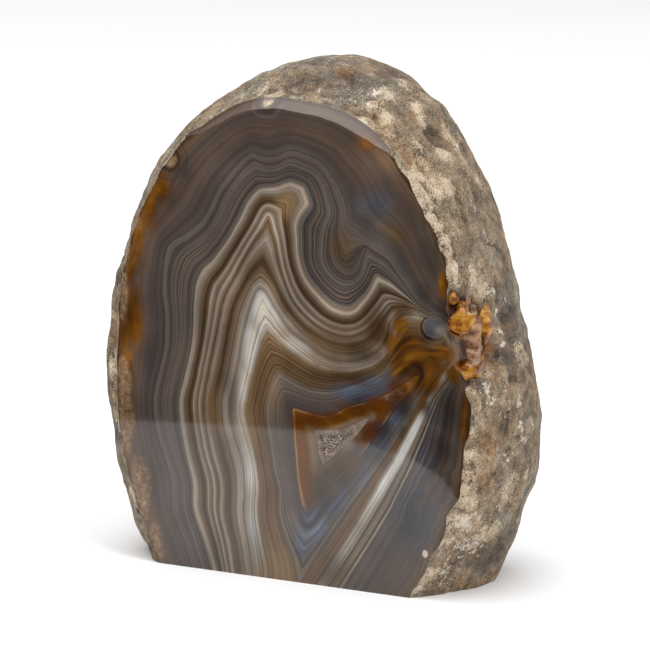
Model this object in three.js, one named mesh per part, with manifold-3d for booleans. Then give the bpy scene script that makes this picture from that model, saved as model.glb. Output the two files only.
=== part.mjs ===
// A polished agate geode: one nodule of banded agate in a rough rind, sawn and polished
// flat at the front, sawn flat underneath so that it stands, with a small pocket of
// quartz crystals open in the middle of the polished face.
//
// Millimetres, +Z up. While the stone is shaped, the polished face lies in the plane
// y = 0 and looks along -Y, the base lies in the plane z = 0, and x = 0 is the middle of
// the face's lower edge. The whole group is then moved so that its origin is in the middle
// of the footprint of its box, on the base.

import * as THREE from 'three';
import { mergeVertices } from 'three/addons/utils/BufferGeometryUtils.js';
import Module from 'manifold-3d';

const wasm = await Module();
wasm.setup();

// Driving dimensions of the nodule. The heart is the point that all outlines go round.
const HEART_X = 2;
const HEART_Z = 58;
const BACK_DEPTH = 57;
const BACK_ROUNDNESS = 2.35;
const FOOTPRINT_MIDDLE_X = -1.6;
const FOOTPRINT_MIDDLE_Y = 28.5;

// Outline of the polished face, x and z, from the lower left corner clockwise. The last
// three points carry the outline on below the saw cut of the base.
const FACE_OUTLINE = [
  [-37.0, 0], [-40.3, 8], [-43.8, 15.5], [-46.4, 25], [-48.2, 33], [-48.9, 43], [-48.3, 56],
  [-48, 66], [-46.1, 76], [-42.7, 86], [-38.9, 94], [-34.7, 100.5], [-28.6, 107], [-22.2, 112],
  [-13.7, 116.8], [-5.2, 118.7], [4.6, 118.3], [14.2, 116.6], [21.1, 113.8], [28.7, 108.2],
  [33.3, 102.2], [37.6, 96.8], [41.6, 89.6], [44.8, 82.5], [47.1, 75], [48.9, 67], [50.6, 57.5],
  [51.1, 50], [50.8, 43], [50.1, 35.5], [48.5, 28], [45.6, 21.5], [43.4, 15.3], [40, 7.6],
  [35.7, 0], [26, -9], [0, -14], [-28, -8],
];

// Widest outline of the whole nodule, behind the face, x and z, going round the same way.
const BELLY_OUTLINE = [
  [-49, 0], [-53.8, 12], [-56.6, 25], [-57, 40], [-56, 56], [-55.4, 70], [-52.8, 83],
  [-48, 96], [-39, 107], [-28.4, 116.2], [-16, 122.6], [-4.5, 126.2], [7, 126.2], [17, 122.8],
  [26.5, 117], [34, 108.7], [40.8, 98.7], [45.8, 88], [49, 76], [52, 63], [54.2, 50],
  [55, 38], [54, 26], [50.2, 14], [43, 0], [30, -12], [0, -17], [-32, -10],
];

// Depth of the widest outline behind the face: on the left, over the top, on the right.
const BELLY_DEPTH = { left: 13, top: 22, right: 19 };

// The ground strip between the face and the rind, wide over the top of the face only.
const BEVEL_WIDTH = 2.5;
const ARRIS_WIDTH = 0.4;
const BEVEL_FROM = THREE.MathUtils.degToRad(60);
const BEVEL_TO = THREE.MathUtils.degToRad(117);
const BEVEL_FADE = THREE.MathUtils.degToRad(8);

// Roughness of the rind, coarse to fine: size of its lumps and how far they rise.
const RIND_LUMPS = [
  { size: 27, rise: 1.8 },
  { size: 13, rise: 0.9 },
  { size: 6, rise: 0.45 },
];
const RIND_CALM_EDGE = 4;

// Single forms on the rind: where each one is, how far it spreads, how far it stands out
// (or, below zero, goes in) and, for a long one, the direction that it runs in.
const RIND_FORMS = [
  // Hollow behind the right shoulder, and broad swells and hollows of the back.
  { at: [46, 38, 84], spread: 22, rise: -3.5 },
  { at: [-22, 55, 86], spread: 16, rise: 2.4 },
  { at: [26, 54, 42], spread: 14, rise: 1.8 },
  { at: [-30, 50, 32], spread: 12, rise: -2.2 },
  { at: [4, 57, 66], spread: 9, rise: -1.6 },
  // Ridge that runs back from the face's upper right, the slab beside it and its dark pit.
  { at: [19.8, 15, 117.5], along: [0, 19.4, 5.3], length: 11, spread: 2.8, rise: 1.3 },
  { at: [25, 26, 114], spread: 5, rise: 1 },
  { at: [29.8, 23, 108.4], spread: 3.4, rise: -3 },
  // Corner down the right side, where the front of the rind turns to the back.
  { at: [50, 21, 66], along: [6, 5, -26], length: 22, spread: 4, rise: 1.1 },
  // Lower right: a slab that ends in a ledge, the broken foot under it, a step behind.
  { at: [49.5, 8, 19.5], spread: 5, rise: 1.2 },
  { at: [46.5, 9, 8], spread: 6.5, rise: -2 },
  { at: [50.5, 33, 16], along: [-6.7, 0, -23.4], length: 15, spread: 5, rise: -1.8 },
];

// Where the agate breaks out through the rind at the right: a hollow with three lumps in it,
// each with the distances that it reaches along x, y and z.
const OUTBREAK_HOLLOW = { at: [52, 8.2, 66.5], reach: [4.4, 4, 7.6] };
const OUTBREAK_LUMPS = [
  { at: [47.6, 2.7, 69.2], reach: [3.3, 3.3, 3.2] },
  { at: [49.2, 4.2, 62.8], reach: [3.3, 3.6, 5] },
  { at: [48, 2.5, 56.8], reach: [3.2, 2.9, 2.7] },
];

// Size of the block that stands for all that a saw cut takes away.
const SAW_REACH = 400;

// How finely the nodule is faceted.
const SPOKES = 120;
const FRONT_RINGS = 8;
const BACK_RINGS = 22;

// Pocket in the face, x and z, and the crust of quartz crystals that lines it.
const POCKET_OUTLINE = [
  [8.6, 38.6], [16.5, 39.6], [24.6, 43.9], [19.6, 37.6], [15.2, 33.8], [10.5, 29.6], [9.3, 34.3],
];
const POCKET_CORNERS = POCKET_OUTLINE.map(([x, z]) => new THREE.Vector2(x, z));
const POCKET_DEPTH = 2.4;
const CRUST_GAP = 0.3;
const CRUST_DEPTH = 1.0;
const CRYSTAL_COUNT = 90;
const CRYSTAL_RADIUS = 0.9;
const CRYSTAL_RISE = 1.4;
const CRYSTAL_TILT = 1.1;
const CRYSTAL_TIP_DEPTH = 0.35;

// A reading of a closed outline: how far it is from the heart in any direction.
function outlineReach(points) {
  const spokes = points.map(([x, z]) => ({
    angle: Math.atan2(z - HEART_Z, x - HEART_X),
    reach: Math.hypot(x - HEART_X, z - HEART_Z),
  }));
  spokes.sort((a, b) => a.angle - b.angle);
  const count = spokes.length;
  const angleOf = (i) => spokes[(i + count) % count].angle
    + (i < 0 ? -1 : i >= count ? 1 : 0) * 2 * Math.PI;
  const reachOf = (i) => spokes[(i + count) % count].reach;
  const slopeOf = (i) => (reachOf(i + 1) - reachOf(i - 1)) / (angleOf(i + 1) - angleOf(i - 1));

  return (direction) => {
    const angle = spokes[0].angle
      + THREE.MathUtils.euclideanModulo(direction - spokes[0].angle, 2 * Math.PI);
    let i = 0;
    while (angleOf(i + 1) <= angle) i += 1;
    const span = angleOf(i + 1) - angleOf(i);
    const t = (angle - angleOf(i)) / span;
    const nextSlope = i + 1 < count ? slopeOf(i + 1) : slopeOf(0);
    return reachOf(i) * (1 - t * t * (3 - 2 * t)) + reachOf(i + 1) * t * t * (3 - 2 * t)
      + span * (slopeOf(i) * t * (1 - t) ** 2 - nextSlope * t * t * (1 - t));
  };
}

// Smooth noise between -1 and 1, the same at the same place every time.
function latticeValue(ix, iy, iz, seed) {
  let mix = Math.imul(ix, 374761393) + Math.imul(iy, 668265263)
    + Math.imul(iz, 1274126177) + Math.imul(seed, 1013904223);
  mix = Math.imul(mix ^ (mix >>> 13), 1103515245);
  mix ^= mix >>> 16;
  return (mix >>> 0) / 2147483648 - 1;
}

function smoothNoise(point, size, seed) {
  const scaled = point.clone().divideScalar(size);
  const corner = scaled.clone().floor();
  const t = scaled.sub(corner).toArray().map((s) => s * s * (3 - 2 * s));
  let sum = 0;
  for (const dx of [0, 1]) {
    for (const dy of [0, 1]) {
      for (const dz of [0, 1]) {
        const weight = (dx ? t[0] : 1 - t[0]) * (dy ? t[1] : 1 - t[1]) * (dz ? t[2] : 1 - t[2]);
        sum += weight * latticeValue(corner.x + dx, corner.y + dy, corner.z + dz, seed);
      }
    }
  }
  return sum;
}

// Height of the rind over the smooth nodule at one point of it.
function rindHeight(point, wayFromEdge) {
  const calm = THREE.MathUtils.smoothstep(wayFromEdge, 0, RIND_CALM_EDGE);
  let height = 0;
  RIND_LUMPS.forEach((lump, i) => {
    height += lump.rise * calm * smoothNoise(point, lump.size, i + 1);
  });
  for (const form of RIND_FORMS) {
    const away = point.clone().sub(new THREE.Vector3(...form.at));
    if (form.along) {
      const run = new THREE.Vector3(...form.along).normalize();
      const lengthways = away.dot(run);
      away.addScaledVector(run, -lengthways * (1 - form.spread / form.length));
    }
    height += form.rise * Math.exp(-away.lengthSq() / (form.spread * form.spread));
  }
  return height;
}

const faceReach = outlineReach(FACE_OUTLINE);
const bellyReach = outlineReach(BELLY_OUTLINE);

function bellyDepth(direction) {
  const sideways = Math.cos(direction);
  const side = sideways < 0 ? BELLY_DEPTH.left : BELLY_DEPTH.right;
  return BELLY_DEPTH.top + (side - BELLY_DEPTH.top) * sideways * sideways;
}

function bevelWidth(direction) {
  const wide = THREE.MathUtils.smoothstep(direction, BEVEL_FROM - BEVEL_FADE, BEVEL_FROM + BEVEL_FADE)
    * (1 - THREE.MathUtils.smoothstep(direction, BEVEL_TO - BEVEL_FADE, BEVEL_TO + BEVEL_FADE));
  return ARRIS_WIDTH + (BEVEL_WIDTH - ARRIS_WIDTH) * wide;
}

// Section of the nodule in one direction from the heart, as pairs of the distance from the
// heart and the depth: the face's edge, the bevel's outer edge, the belly, then the back.
function noduleProfile(direction) {
  const edge = faceReach(direction);
  const belly = bellyReach(direction);
  const bevel = bevelWidth(direction);
  const widest = bellyDepth(direction);
  const profile = [[edge - bevel, 0]];
  for (let i = 0; i <= FRONT_RINGS; i += 1) {
    const u = i / FRONT_RINGS;
    profile.push([
      edge + (belly - edge) * Math.sin(u * Math.PI / 2),
      bevel + (widest - bevel) * u,
    ]);
  }
  for (let i = 1; i < BACK_RINGS; i += 1) {
    const turn = (i / BACK_RINGS) * Math.PI / 2;
    profile.push([
      belly * Math.cos(turn) ** (2 / BACK_ROUNDNESS),
      widest + (BACK_DEPTH - widest) * Math.sin(turn) ** (2 / BACK_ROUNDNESS),
    ]);
  }
  return profile;
}

function placeAt(direction, reach, depth) {
  return new THREE.Vector3(
    HEART_X + reach * Math.cos(direction),
    depth,
    HEART_Z + reach * Math.sin(direction),
  );
}

// The whole nodule before it is sawn underneath: spokes of points round the heart, with one
// point in the middle of the face and one in the middle of the back.
function noduleGeometry() {
  const rows = [];
  for (let s = 0; s < SPOKES; s += 1) {
    const direction = (s / SPOKES) * 2 * Math.PI - Math.PI;
    const profile = noduleProfile(direction);
    let wayFromEdge = 0;
    rows.push(profile.map(([reach, depth], i) => {
      const point = placeAt(direction, reach, depth);
      if (i < 2) return point;
      const [reachBefore, depthBefore] = profile[i - 1];
      const [reachAfter, depthAfter] = profile[Math.min(i + 1, profile.length - 1)];
      wayFromEdge += Math.hypot(reach - reachBefore, depth - depthBefore);
      const out = new THREE.Vector2(depthAfter - depthBefore, reachBefore - reachAfter).normalize();
      const height = rindHeight(point, wayFromEdge);
      return placeAt(direction, reach + out.x * height, depth + out.y * height);
    }));
  }

  const points = rows.flat();
  const rings = rows[0].length;
  const faceMiddle = points.push(new THREE.Vector3(HEART_X, 0, HEART_Z)) - 1;
  const backPoint = new THREE.Vector3(HEART_X, BACK_DEPTH, HEART_Z);
  backPoint.y += rindHeight(backPoint, BACK_DEPTH);
  const backMiddle = points.push(backPoint) - 1;
  const faces = [];
  for (let s = 0; s < SPOKES; s += 1) {
    const here = s * rings;
    const next = ((s + 1) % SPOKES) * rings;
    faces.push(faceMiddle, here, next);
    for (let i = 0; i < rings - 1; i += 1) {
      faces.push(here + i, here + i + 1, next + i);
      faces.push(next + i, here + i + 1, next + i + 1);
    }
    faces.push(backMiddle, next + rings - 1, here + rings - 1);
  }
  const geometry = new THREE.BufferGeometry();
  geometry.setAttribute(
    'position',
    new THREE.Float32BufferAttribute(points.flatMap((point) => point.toArray()), 3),
  );
  geometry.setIndex(faces);
  return geometry;
}

// Closed solid of a closed geometry, and the geometry of a solid.
function solidOf(geometry) {
  const bare = geometry.clone();
  bare.deleteAttribute('normal');
  bare.deleteAttribute('uv');
  const merged = mergeVertices(bare, 1e-4);
  return new wasm.Manifold(new wasm.Mesh({
    numProp: 3,
    vertProperties: new Float32Array(merged.attributes.position.array),
    triVerts: new Uint32Array(merged.index.array),
  }));
}

function geometryOf(solid) {
  const mesh = solid.getMesh();
  const geometry = new THREE.BufferGeometry();
  geometry.setAttribute('position', new THREE.BufferAttribute(mesh.vertProperties, 3));
  geometry.setIndex(new THREE.BufferAttribute(mesh.triVerts, 1));
  geometry.computeVertexNormals();
  return geometry;
}

// A plate with the pocket's outline, drawn in by a margin, between two depths.
function pocketPlate(margin, fromDepth, toDepth) {
  const count = POCKET_CORNERS.length;
  const shape = new THREE.Shape(POCKET_CORNERS.map((corner, i) => {
    const before = corner.clone().sub(POCKET_CORNERS[(i + count - 1) % count]).normalize();
    const after = POCKET_CORNERS[(i + 1) % count].clone().sub(corner).normalize();
    const inwards = new THREE.Vector2(before.y + after.y, -before.x - after.x).normalize();
    const halfCorner = Math.sqrt((1 + before.dot(after)) / 2);
    return corner.clone().addScaledVector(inwards, margin / halfCorner);
  }));
  const plate = new THREE.ExtrudeGeometry(shape, {
    depth: toDepth - fromDepth,
    bevelEnabled: false,
  });
  plate.rotateX(Math.PI / 2);
  plate.translate(0, toDepth, 0);
  return solidOf(plate);
}

// One quartz crystal: a six-sided prism with a six-sided point, standing on the origin.
function crystalGeometry(radius, height) {
  return new THREE.LatheGeometry([
    new THREE.Vector2(0, 0),
    new THREE.Vector2(radius, 0),
    new THREE.Vector2(radius, height - radius),
    new THREE.Vector2(0, height),
  ], 6);
}

// A rounded lump with its own reach along each axis.
function lumpSolid({ at, reach }) {
  const lump = new THREE.IcosahedronGeometry(1, 2);
  lump.scale(...reach);
  lump.translate(...at);
  return solidOf(lump);
}

// A block that takes away all on one side of a saw cut, facing -Y or -Z.
function sawnOff(axis) {
  const block = new THREE.BoxGeometry(SAW_REACH, SAW_REACH, SAW_REACH);
  block.translate(...axis.clone().multiplyScalar(SAW_REACH / 2).toArray());
  return solidOf(block);
}

function agateStone() {
  let nodule = solidOf(noduleGeometry()).subtract(lumpSolid(OUTBREAK_HOLLOW));
  for (const lump of OUTBREAK_LUMPS) {
    nodule = nodule.add(lumpSolid(lump));
  }
  return nodule
    .subtract(sawnOff(new THREE.Vector3(0, -1, 0)))
    .subtract(sawnOff(new THREE.Vector3(0, 0, -1)))
    .subtract(pocketPlate(0, -1, POCKET_DEPTH));
}

// The crust: a thin plate on the pocket's floor with crystals growing out of it, tilted
// every way and packed close, none as high as the polished face.
function druseCrust() {
  const floor = POCKET_DEPTH - CRUST_GAP;
  const area = new THREE.Box2().setFromPoints(POCKET_CORNERS);
  let crust = pocketPlate(CRUST_GAP, floor - CRUST_DEPTH, floor);
  for (let i = 0; i < CRYSTAL_COUNT; i += 1) {
    const roll = (seed) => (latticeValue(i, 7, 3, seed) + 1) / 2;
    const radius = CRYSTAL_RADIUS * (0.6 + 0.6 * roll(1));
    const crystal = crystalGeometry(radius, CRUST_DEPTH + CRYSTAL_RISE * roll(2));
    crystal.rotateY(roll(3) * Math.PI);
    crystal.rotateX(Math.PI + CRYSTAL_TILT * (roll(4) - 0.5));
    crystal.rotateZ(CRYSTAL_TILT * (roll(5) - 0.5));
    crystal.translate(
      THREE.MathUtils.lerp(area.min.x, area.max.x, roll(6)),
      floor,
      THREE.MathUtils.lerp(area.min.y, area.max.y, roll(7)),
    );
    crust = crust.add(solidOf(crystal));
  }
  return crust.intersect(pocketPlate(CRUST_GAP, CRYSTAL_TIP_DEPTH, floor));
}

const agateFinish = new THREE.MeshStandardMaterial({ color: 0x7a6a58, roughness: 0.4 });
const quartzFinish = new THREE.MeshStandardMaterial({ color: 0xc9b8ac, roughness: 0.15 });

const stone = new THREE.Mesh(geometryOf(agateStone()), agateFinish);
stone.name = 'agate_stone';
const druse = new THREE.Mesh(geometryOf(druseCrust()), quartzFinish);
druse.name = 'druse_crystals';

const geode = new THREE.Group();
geode.add(stone, druse);
geode.position.set(-FOOTPRINT_MIDDLE_X, -FOOTPRINT_MIDDLE_Y, 0);

export default geode;
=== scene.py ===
import math

import bmesh
import bpy
import numpy as np
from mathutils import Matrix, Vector
from mathutils.geometry import delaunay_2d_cdt


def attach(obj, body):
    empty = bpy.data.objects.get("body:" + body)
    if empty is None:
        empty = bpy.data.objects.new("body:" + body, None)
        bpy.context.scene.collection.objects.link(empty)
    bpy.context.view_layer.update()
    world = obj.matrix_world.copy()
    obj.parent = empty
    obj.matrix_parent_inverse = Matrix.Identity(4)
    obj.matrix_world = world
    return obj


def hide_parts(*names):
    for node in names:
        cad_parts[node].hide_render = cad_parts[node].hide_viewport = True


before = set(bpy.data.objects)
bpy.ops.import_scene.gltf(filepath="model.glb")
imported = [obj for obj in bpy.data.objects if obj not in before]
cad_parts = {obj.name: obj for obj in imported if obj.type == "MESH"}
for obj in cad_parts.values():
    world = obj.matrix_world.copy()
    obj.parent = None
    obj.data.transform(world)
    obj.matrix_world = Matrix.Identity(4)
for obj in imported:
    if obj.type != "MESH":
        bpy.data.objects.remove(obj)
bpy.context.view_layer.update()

# A polished agate geode: one banded nodule in a rough rind, sawn and polished flat at the
# front, standing on a sawn base, with a pocket of quartz crystals open in the face.
#
# The stone is shaped in millimetres in its own frame: the polished face lies in the plane
# y = 0 and looks along -Y, the base lies in the plane z = 0, and x = 0 is the middle of the
# face's lower edge. FOOTPRINT_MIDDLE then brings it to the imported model's place.
MM = 0.001
FOOTPRINT_MIDDLE = np.array([-1.6, 28.5, 0.0])

# The nodule, as its solid has it.
HEART = np.array([2.0, 58.0])
BACK_DEPTH = 57.0
BACK_ROUNDNESS = 2.35
FACE_OUTLINE = [
    (-37.0, 0), (-40.3, 8), (-43.8, 15.5), (-46.4, 25), (-48.2, 33), (-48.9, 43), (-48.3, 56),
    (-48, 66), (-46.1, 76), (-42.7, 86), (-38.9, 94), (-34.7, 100.5), (-28.6, 107), (-22.2, 112),
    (-13.7, 116.8), (-5.2, 118.7), (4.6, 118.3), (14.2, 116.6), (21.1, 113.8), (28.7, 108.2),
    (33.3, 102.2), (37.6, 96.8), (41.6, 89.6), (44.8, 82.5), (47.1, 75), (48.9, 67), (50.6, 57.5),
    (51.1, 50), (50.8, 43), (50.1, 35.5), (48.5, 28), (45.6, 21.5), (43.4, 15.3), (40, 7.6),
    (35.7, 0), (26, -9), (0, -14), (-28, -8),
]
BELLY_OUTLINE = [
    (-49, 0), (-53.8, 12), (-56.6, 25), (-57, 40), (-56, 56), (-55.4, 70), (-52.8, 83),
    (-48, 96), (-39, 107), (-28.4, 116.2), (-16, 122.6), (-4.5, 126.2), (7, 126.2), (17, 122.8),
    (26.5, 117), (34, 108.7), (40.8, 98.7), (45.8, 88), (49, 76), (52, 63), (54.2, 50),
    (55, 38), (54, 26), (50.2, 14), (43, 0), (30, -12), (0, -17), (-32, -10),
]
BELLY_DEPTH_LEFT, BELLY_DEPTH_TOP, BELLY_DEPTH_RIGHT = 13.0, 22.0, 19.0
BEVEL_WIDTH, ARRIS_WIDTH = 2.5, 0.4
BEVEL_FROM, BEVEL_TO, BEVEL_FADE = np.radians([65.0, 117.0, 8.0])
RIND_LUMPS = [(27, 1.8), (13, 0.9), (6, 0.45)]
RIND_CALM_EDGE = 4.0
RIND_FORMS = [
    dict(at=(46, 38, 84), spread=22, rise=-3.5),
    dict(at=(-22, 55, 86), spread=16, rise=2.4),
    dict(at=(26, 54, 42), spread=14, rise=1.8),
    dict(at=(-30, 50, 32), spread=12, rise=-2.2),
    dict(at=(4, 57, 66), spread=9, rise=-1.6),
    dict(at=(19.8, 15, 117.5), along=(0, 19.4, 5.3), length=11, spread=2.8, rise=1.3),
    dict(at=(25, 26, 114), spread=5, rise=1),
    dict(at=(29.8, 23, 108.4), spread=3.4, rise=-3),
    dict(at=(50, 21, 66), along=(6, 5, -26), length=22, spread=4, rise=1.1),
    dict(at=(49.5, 8, 19.5), spread=5, rise=1.2),
    dict(at=(46.5, 9, 8), spread=6.5, rise=-2),
    dict(at=(50.5, 33, 16), along=(-6.7, 0, -23.4), length=15, spread=5, rise=-1.8),
]
OUTBREAK_HOLLOW = dict(at=(52, 8.2, 66.5), reach=(4.4, 4, 7.6))
POCKET_OUTLINE = [
    (8.6, 38.6), (16.5, 39.6), (24.6, 43.9), (19.6, 37.6), (15.2, 33.8), (10.5, 29.6), (9.3, 34.3),
]
POCKET_DEPTH = 2.4
POCKET_SLOPE = 0.3

# How finely the stone is meshed.
SPOKES = 520
FRONT_RINGS = 40
BACK_RINGS = 84
FACE_GRAIN = 0.64
BASE_GRAIN = 1.4

# Grain of the rind that the solid leaves out: size of its lumps and how far they rise.
FINE_LUMPS = [(4.4, 0.34), (2.1, 0.17), (1.1, 0.09)]
KNOB_SIZE, KNOB_RISE, KNOB_BAND = 2.2, 0.6, 4.5
CREASE_SIZE, CREASE_DEPTH = 9.0, 0.55
PIT_SIZE, PIT_DEPTH = 3.1, 0.4
RIM_WOBBLE = [(7.0, 0.4), (3.1, 0.4), (1.7, 0.2)]
RAGGED_RIGHT = 0.9
# Forms of the rind that the solid leaves out as too small.
FINE_FORMS = [
    dict(at=(31, 17.5, 110.3), spread=2.9, rise=-2.6),
    dict(at=(28, 20, 116.5), along=(13, 7.5, -15.5), length=9, spread=1.9, rise=1.3),
    dict(at=(21, 6.5, 115.4), along=(0, 10, 3), length=6, spread=1.3, rise=0.8),
    dict(at=(36, 10, 98.5), along=(8, 4, -14), length=6, spread=2.2, rise=0.6),
    dict(at=(24.5, 12, 114), spread=3.0, rise=-0.6),
    dict(at=(50, 13, 69), along=(2, 0, -12), length=8, spread=1.3, rise=0.6),
    dict(at=(48.5, 7, 17.3), along=(3, 8, -3), length=6, spread=2.0, rise=0.7),
    dict(at=(45.6, 4, 12), spread=3.0, rise=-1.0),
    dict(at=(50.5, 8, 67.5), spread=4.4, rise=-3.4),
    dict(at=(46.5, 2.5, 73.4), spread=2.2, rise=-1.6),
    dict(at=(51.5, 7.5, 60), spread=3.0, rise=-2.0),
    dict(at=(43.0, 1.8, 87.2), spread=1.5, rise=1.1),
    dict(at=(45.6, 1.6, 80.0), spread=1.8, rise=1.5),
    dict(at=(39.5, 1.6, 93.2), spread=1.6, rise=0.8),
    dict(at=(36.0, 1.8, 98.6), spread=2.0, rise=0.9),
    dict(at=(51.0, 1.6, 50.6), spread=1.6, rise=1.0),
    dict(at=(50.9, 1.6, 42.0), spread=1.7, rise=0.9),
    dict(at=(50.0, 1.6, 32.0), spread=1.8, rise=1.0),
    dict(at=(47.6, 1.8, 24.6), spread=2.2, rise=1.4),
    dict(at=(44.6, 1.8, 18.4), spread=2.0, rise=1.2),
]
# How far the face's edge is broken back along the outbreak: height and depth of the breaks.
BROKEN_EDGE = [(52.5, 0), (54.8, 2.6), (58.2, 3.4), (60.4, 1.6), (62.5, 0.6), (64.8, 0.7),
               (66.4, 3.0), (68.6, 3.6), (71.5, 3.0), (74.7, 1.9), (79.9, 0.7), (84, 0)]

# The growth lines of the agate on the face, x and z, from the outside in. Each one starts
# under the base at the left, climbs over the top, pinches together with the others at the
# outbreak on the right and comes down again to the base.
GROWTH_LINES = [
    [(-25.9, -1.8), (-28.8, 6.8), (-32.2, 14.1), (-32.5, 21.7), (-34.5, 27.8), (-36.8, 33.9),
     (-37.6, 41.5), (-35.8, 49.2), (-34.2, 55.7), (-34.2, 64.4), (-34.7, 69.4), (-34.3, 75.7),
     (-32.6, 80.8), (-28.2, 83.6), (-23.8, 86.9), (-20.9, 90.8), (-18.6, 95.4), (-14.6, 100.1),
     (-11.5, 103.3), (-8.9, 105.1), (-6.1, 104.3), (-1.9, 104.6), (1.8, 106.3), (5.9, 105.6),
     (10.1, 104.2), (12.9, 101.2), (15.6, 97.8), (17, 94.3), (18.4, 89.6), (21.1, 88.1),
     (24.4, 85.7), (28, 84.3), (29.9, 83.2), (32.1, 79.8), (34.8, 76.4), (37.5, 73),
     (40.7, 70.9), (44.5, 69.5), (47.2, 64.7), (49.1, 59.4), (44.4, 49.5), (43.1, 42.1),
     (41.7, 37.1), (38, 29.4), (35.3, 24.2), (31.2, 16.4), (26, 8.3), (21.3, 0.3)],
    [(-23.6, -1.5), (-26.4, 7.1), (-29.3, 14.4), (-29.8, 22), (-32.1, 28.1), (-34.1, 34.2),
     (-34.7, 41.7), (-33.1, 49.5), (-31.6, 55.9), (-31.5, 64.7), (-32.1, 69.6), (-31.4, 75.2),
     (-29.4, 79.1), (-25.9, 81.6), (-21.8, 84.9), (-18.9, 89.3), (-16.6, 93.9), (-13.2, 98.3),
     (-10.3, 101.4), (-8.3, 103), (-5.8, 102.2), (-1.9, 102.4), (1.5, 104.1), (5.1, 103.4),
     (8.7, 102.2), (11.5, 99.5), (12.9, 95.2), (14, 91.7), (12.6, 88.4), (11.8, 84.2),
     (12, 80.1), (14, 77.4), (17.8, 76), (20.6, 77.4), (22, 80.9), (22.8, 83.9), (25.2, 82.6),
     (28.8, 80.5), (31, 78.3), (33.7, 75.3), (36.7, 72.2), (40.2, 70.4), (44.2, 69),
     (46.9, 64.5), (48.6, 59.1), (43.3, 49.4), (40.9, 41.9), (39.3, 36.9), (35.8, 29.2),
     (33.1, 24), (28.7, 16.1), (23.5, 8), (18.5, -0.1)],
    [(-20, -0.6), (-22.9, 7.5), (-25.8, 14.8), (-26.3, 22.3), (-28, 28.5), (-29.4, 34.7),
     (-30, 42.2), (-27.9, 50), (-26.1, 57.6), (-25.4, 67.7), (-24.8, 71.5), (-23, 75.3),
     (-20.4, 77.5), (-16.7, 82), (-12.4, 88.5), (-9.5, 93.6), (-7, 96.2), (-2.4, 97),
     (2, 98.6), (5.4, 97.6), (7, 93.8), (4.8, 91.2), (3.7, 89), (3.7, 84.6), (4, 80.7),
     (5.4, 76.7), (9, 72.6), (14.8, 68.7), (19, 68.8), (21.7, 71.2), (24.4, 74.8),
     (25.8, 77.6), (29.6, 76.2), (32.1, 74.7), (36.1, 72.2), (40.2, 70.1), (44, 68.5),
     (46.7, 64.2), (48.1, 59.1), (42.5, 49.3), (39.3, 41.7), (37.1, 36.7), (33.6, 28.9),
     (30.9, 23.7), (26.2, 15.8), (21, 7.7), (15.7, -0.4)],
    [(-15.7, -0.5), (-17.1, 6.9), (-19.1, 15.6), (-19.3, 23.1), (-21.3, 29.2), (-22.7, 35.4),
     (-23.3, 42.9), (-21.8, 50.5), (-20.3, 56.9), (-18.8, 63.3), (-17.6, 68.4), (-13.9, 74.9),
     (-9.6, 82.1), (-6.1, 87), (-4.4, 89.8), (-2.5, 84.4), (-0.8, 77.6), (2.3, 70.5),
     (7.3, 65.6), (12.9, 63.1), (18.4, 62.6), (23.4, 65), (27.2, 69.2), (29.4, 71.6),
     (32.1, 71.8), (36.2, 71), (40.2, 69.6), (43.7, 68), (46.1, 63.9), (47.5, 59),
     (41.4, 49.2), (37.7, 41.6), (35.2, 36.4), (31.4, 28.7), (28.7, 23.5), (23.8, 15.5),
     (18.5, 7.4), (12.9, -0.8)],
    [(-7.9, 0.9), (-8.7, 6.6), (-10.1, 14.1), (-9.8, 21.6), (-9.8, 26.7), (-11.5, 32.8),
     (-13.2, 37.6), (-13.7, 42.6), (-12.3, 47.7), (-10.5, 55.3), (-9.4, 60.4), (-7.9, 65.5),
     (-6.2, 70.1), (-2.5, 65.4), (1.7, 60.9), (5.9, 58.3), (10.1, 56), (15.7, 54.8),
     (21.2, 55.6), (25.3, 57.4), (28, 59.9), (29.4, 63.1), (30.2, 67.1), (31.8, 69.2),
     (34.3, 70.1), (37.5, 69.9), (40.7, 69), (43.4, 67.5), (45.6, 63.6), (47, 59),
     (40.3, 49.1), (36, 41.4), (33.3, 36.2), (29.2, 28.5), (26.2, 23.2), (21.3, 15.2),
     (16, 7.1), (10.6, -0.6)],
    [(4.1, -0.1), (3.3, 5.6), (0.5, 11.5), (-1.2, 17.6), (-1.2, 22.6), (-2.6, 27.5),
     (-3.8, 34.8), (-4.6, 42.2), (-3.4, 47.3), (-1.4, 51.2), (3.1, 49.2), (7.3, 48.1),
     (12.9, 48.2), (18.4, 49.9), (23.9, 52.4), (28.1, 55.2), (30.5, 58.4), (33.2, 60.8),
     (37.5, 61.7), (42.4, 61.7), (45.4, 61.7), (46.2, 60.3), (43, 57.9), (40.3, 54),
     (37.1, 48.6), (34.4, 43.9), (30, 37.1), (22.9, 27.3), (14.6, 15.9), (7.8, 6.1)],
    [(2.5, 43.4), (6.7, 42.6), (11.5, 42.1), (18.4, 45.3), (26.7, 48.3), (34.3, 52.9),
     (37, 54.4), (34.3, 50), (31.6, 47.3), (28.1, 42.6), (24.5, 37.8), (22.3, 34.6),
     (15.7, 27.7), (10.6, 22.4), (6.7, 17), (5, 19.6), (4.4, 22), (3.6, 28.1), (2.8, 38)],
    [(7.6, 38.7), (11.5, 38.6), (15.7, 39.8), (19.8, 41.5), (24.2, 43.6), (20.4, 39.6),
     (17.1, 36), (13.4, 32.4), (9.5, 28.5), (8.7, 33.6)],
]
OPEN_LINES = 5
UNDER_BASE = -12.0
LINE_STEP = 1.3
CORE_WIDTH = 3.0
SAWN_BAND_WIDTH = 4.0
SHARP_TURN = math.cos(math.radians(48))


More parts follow.
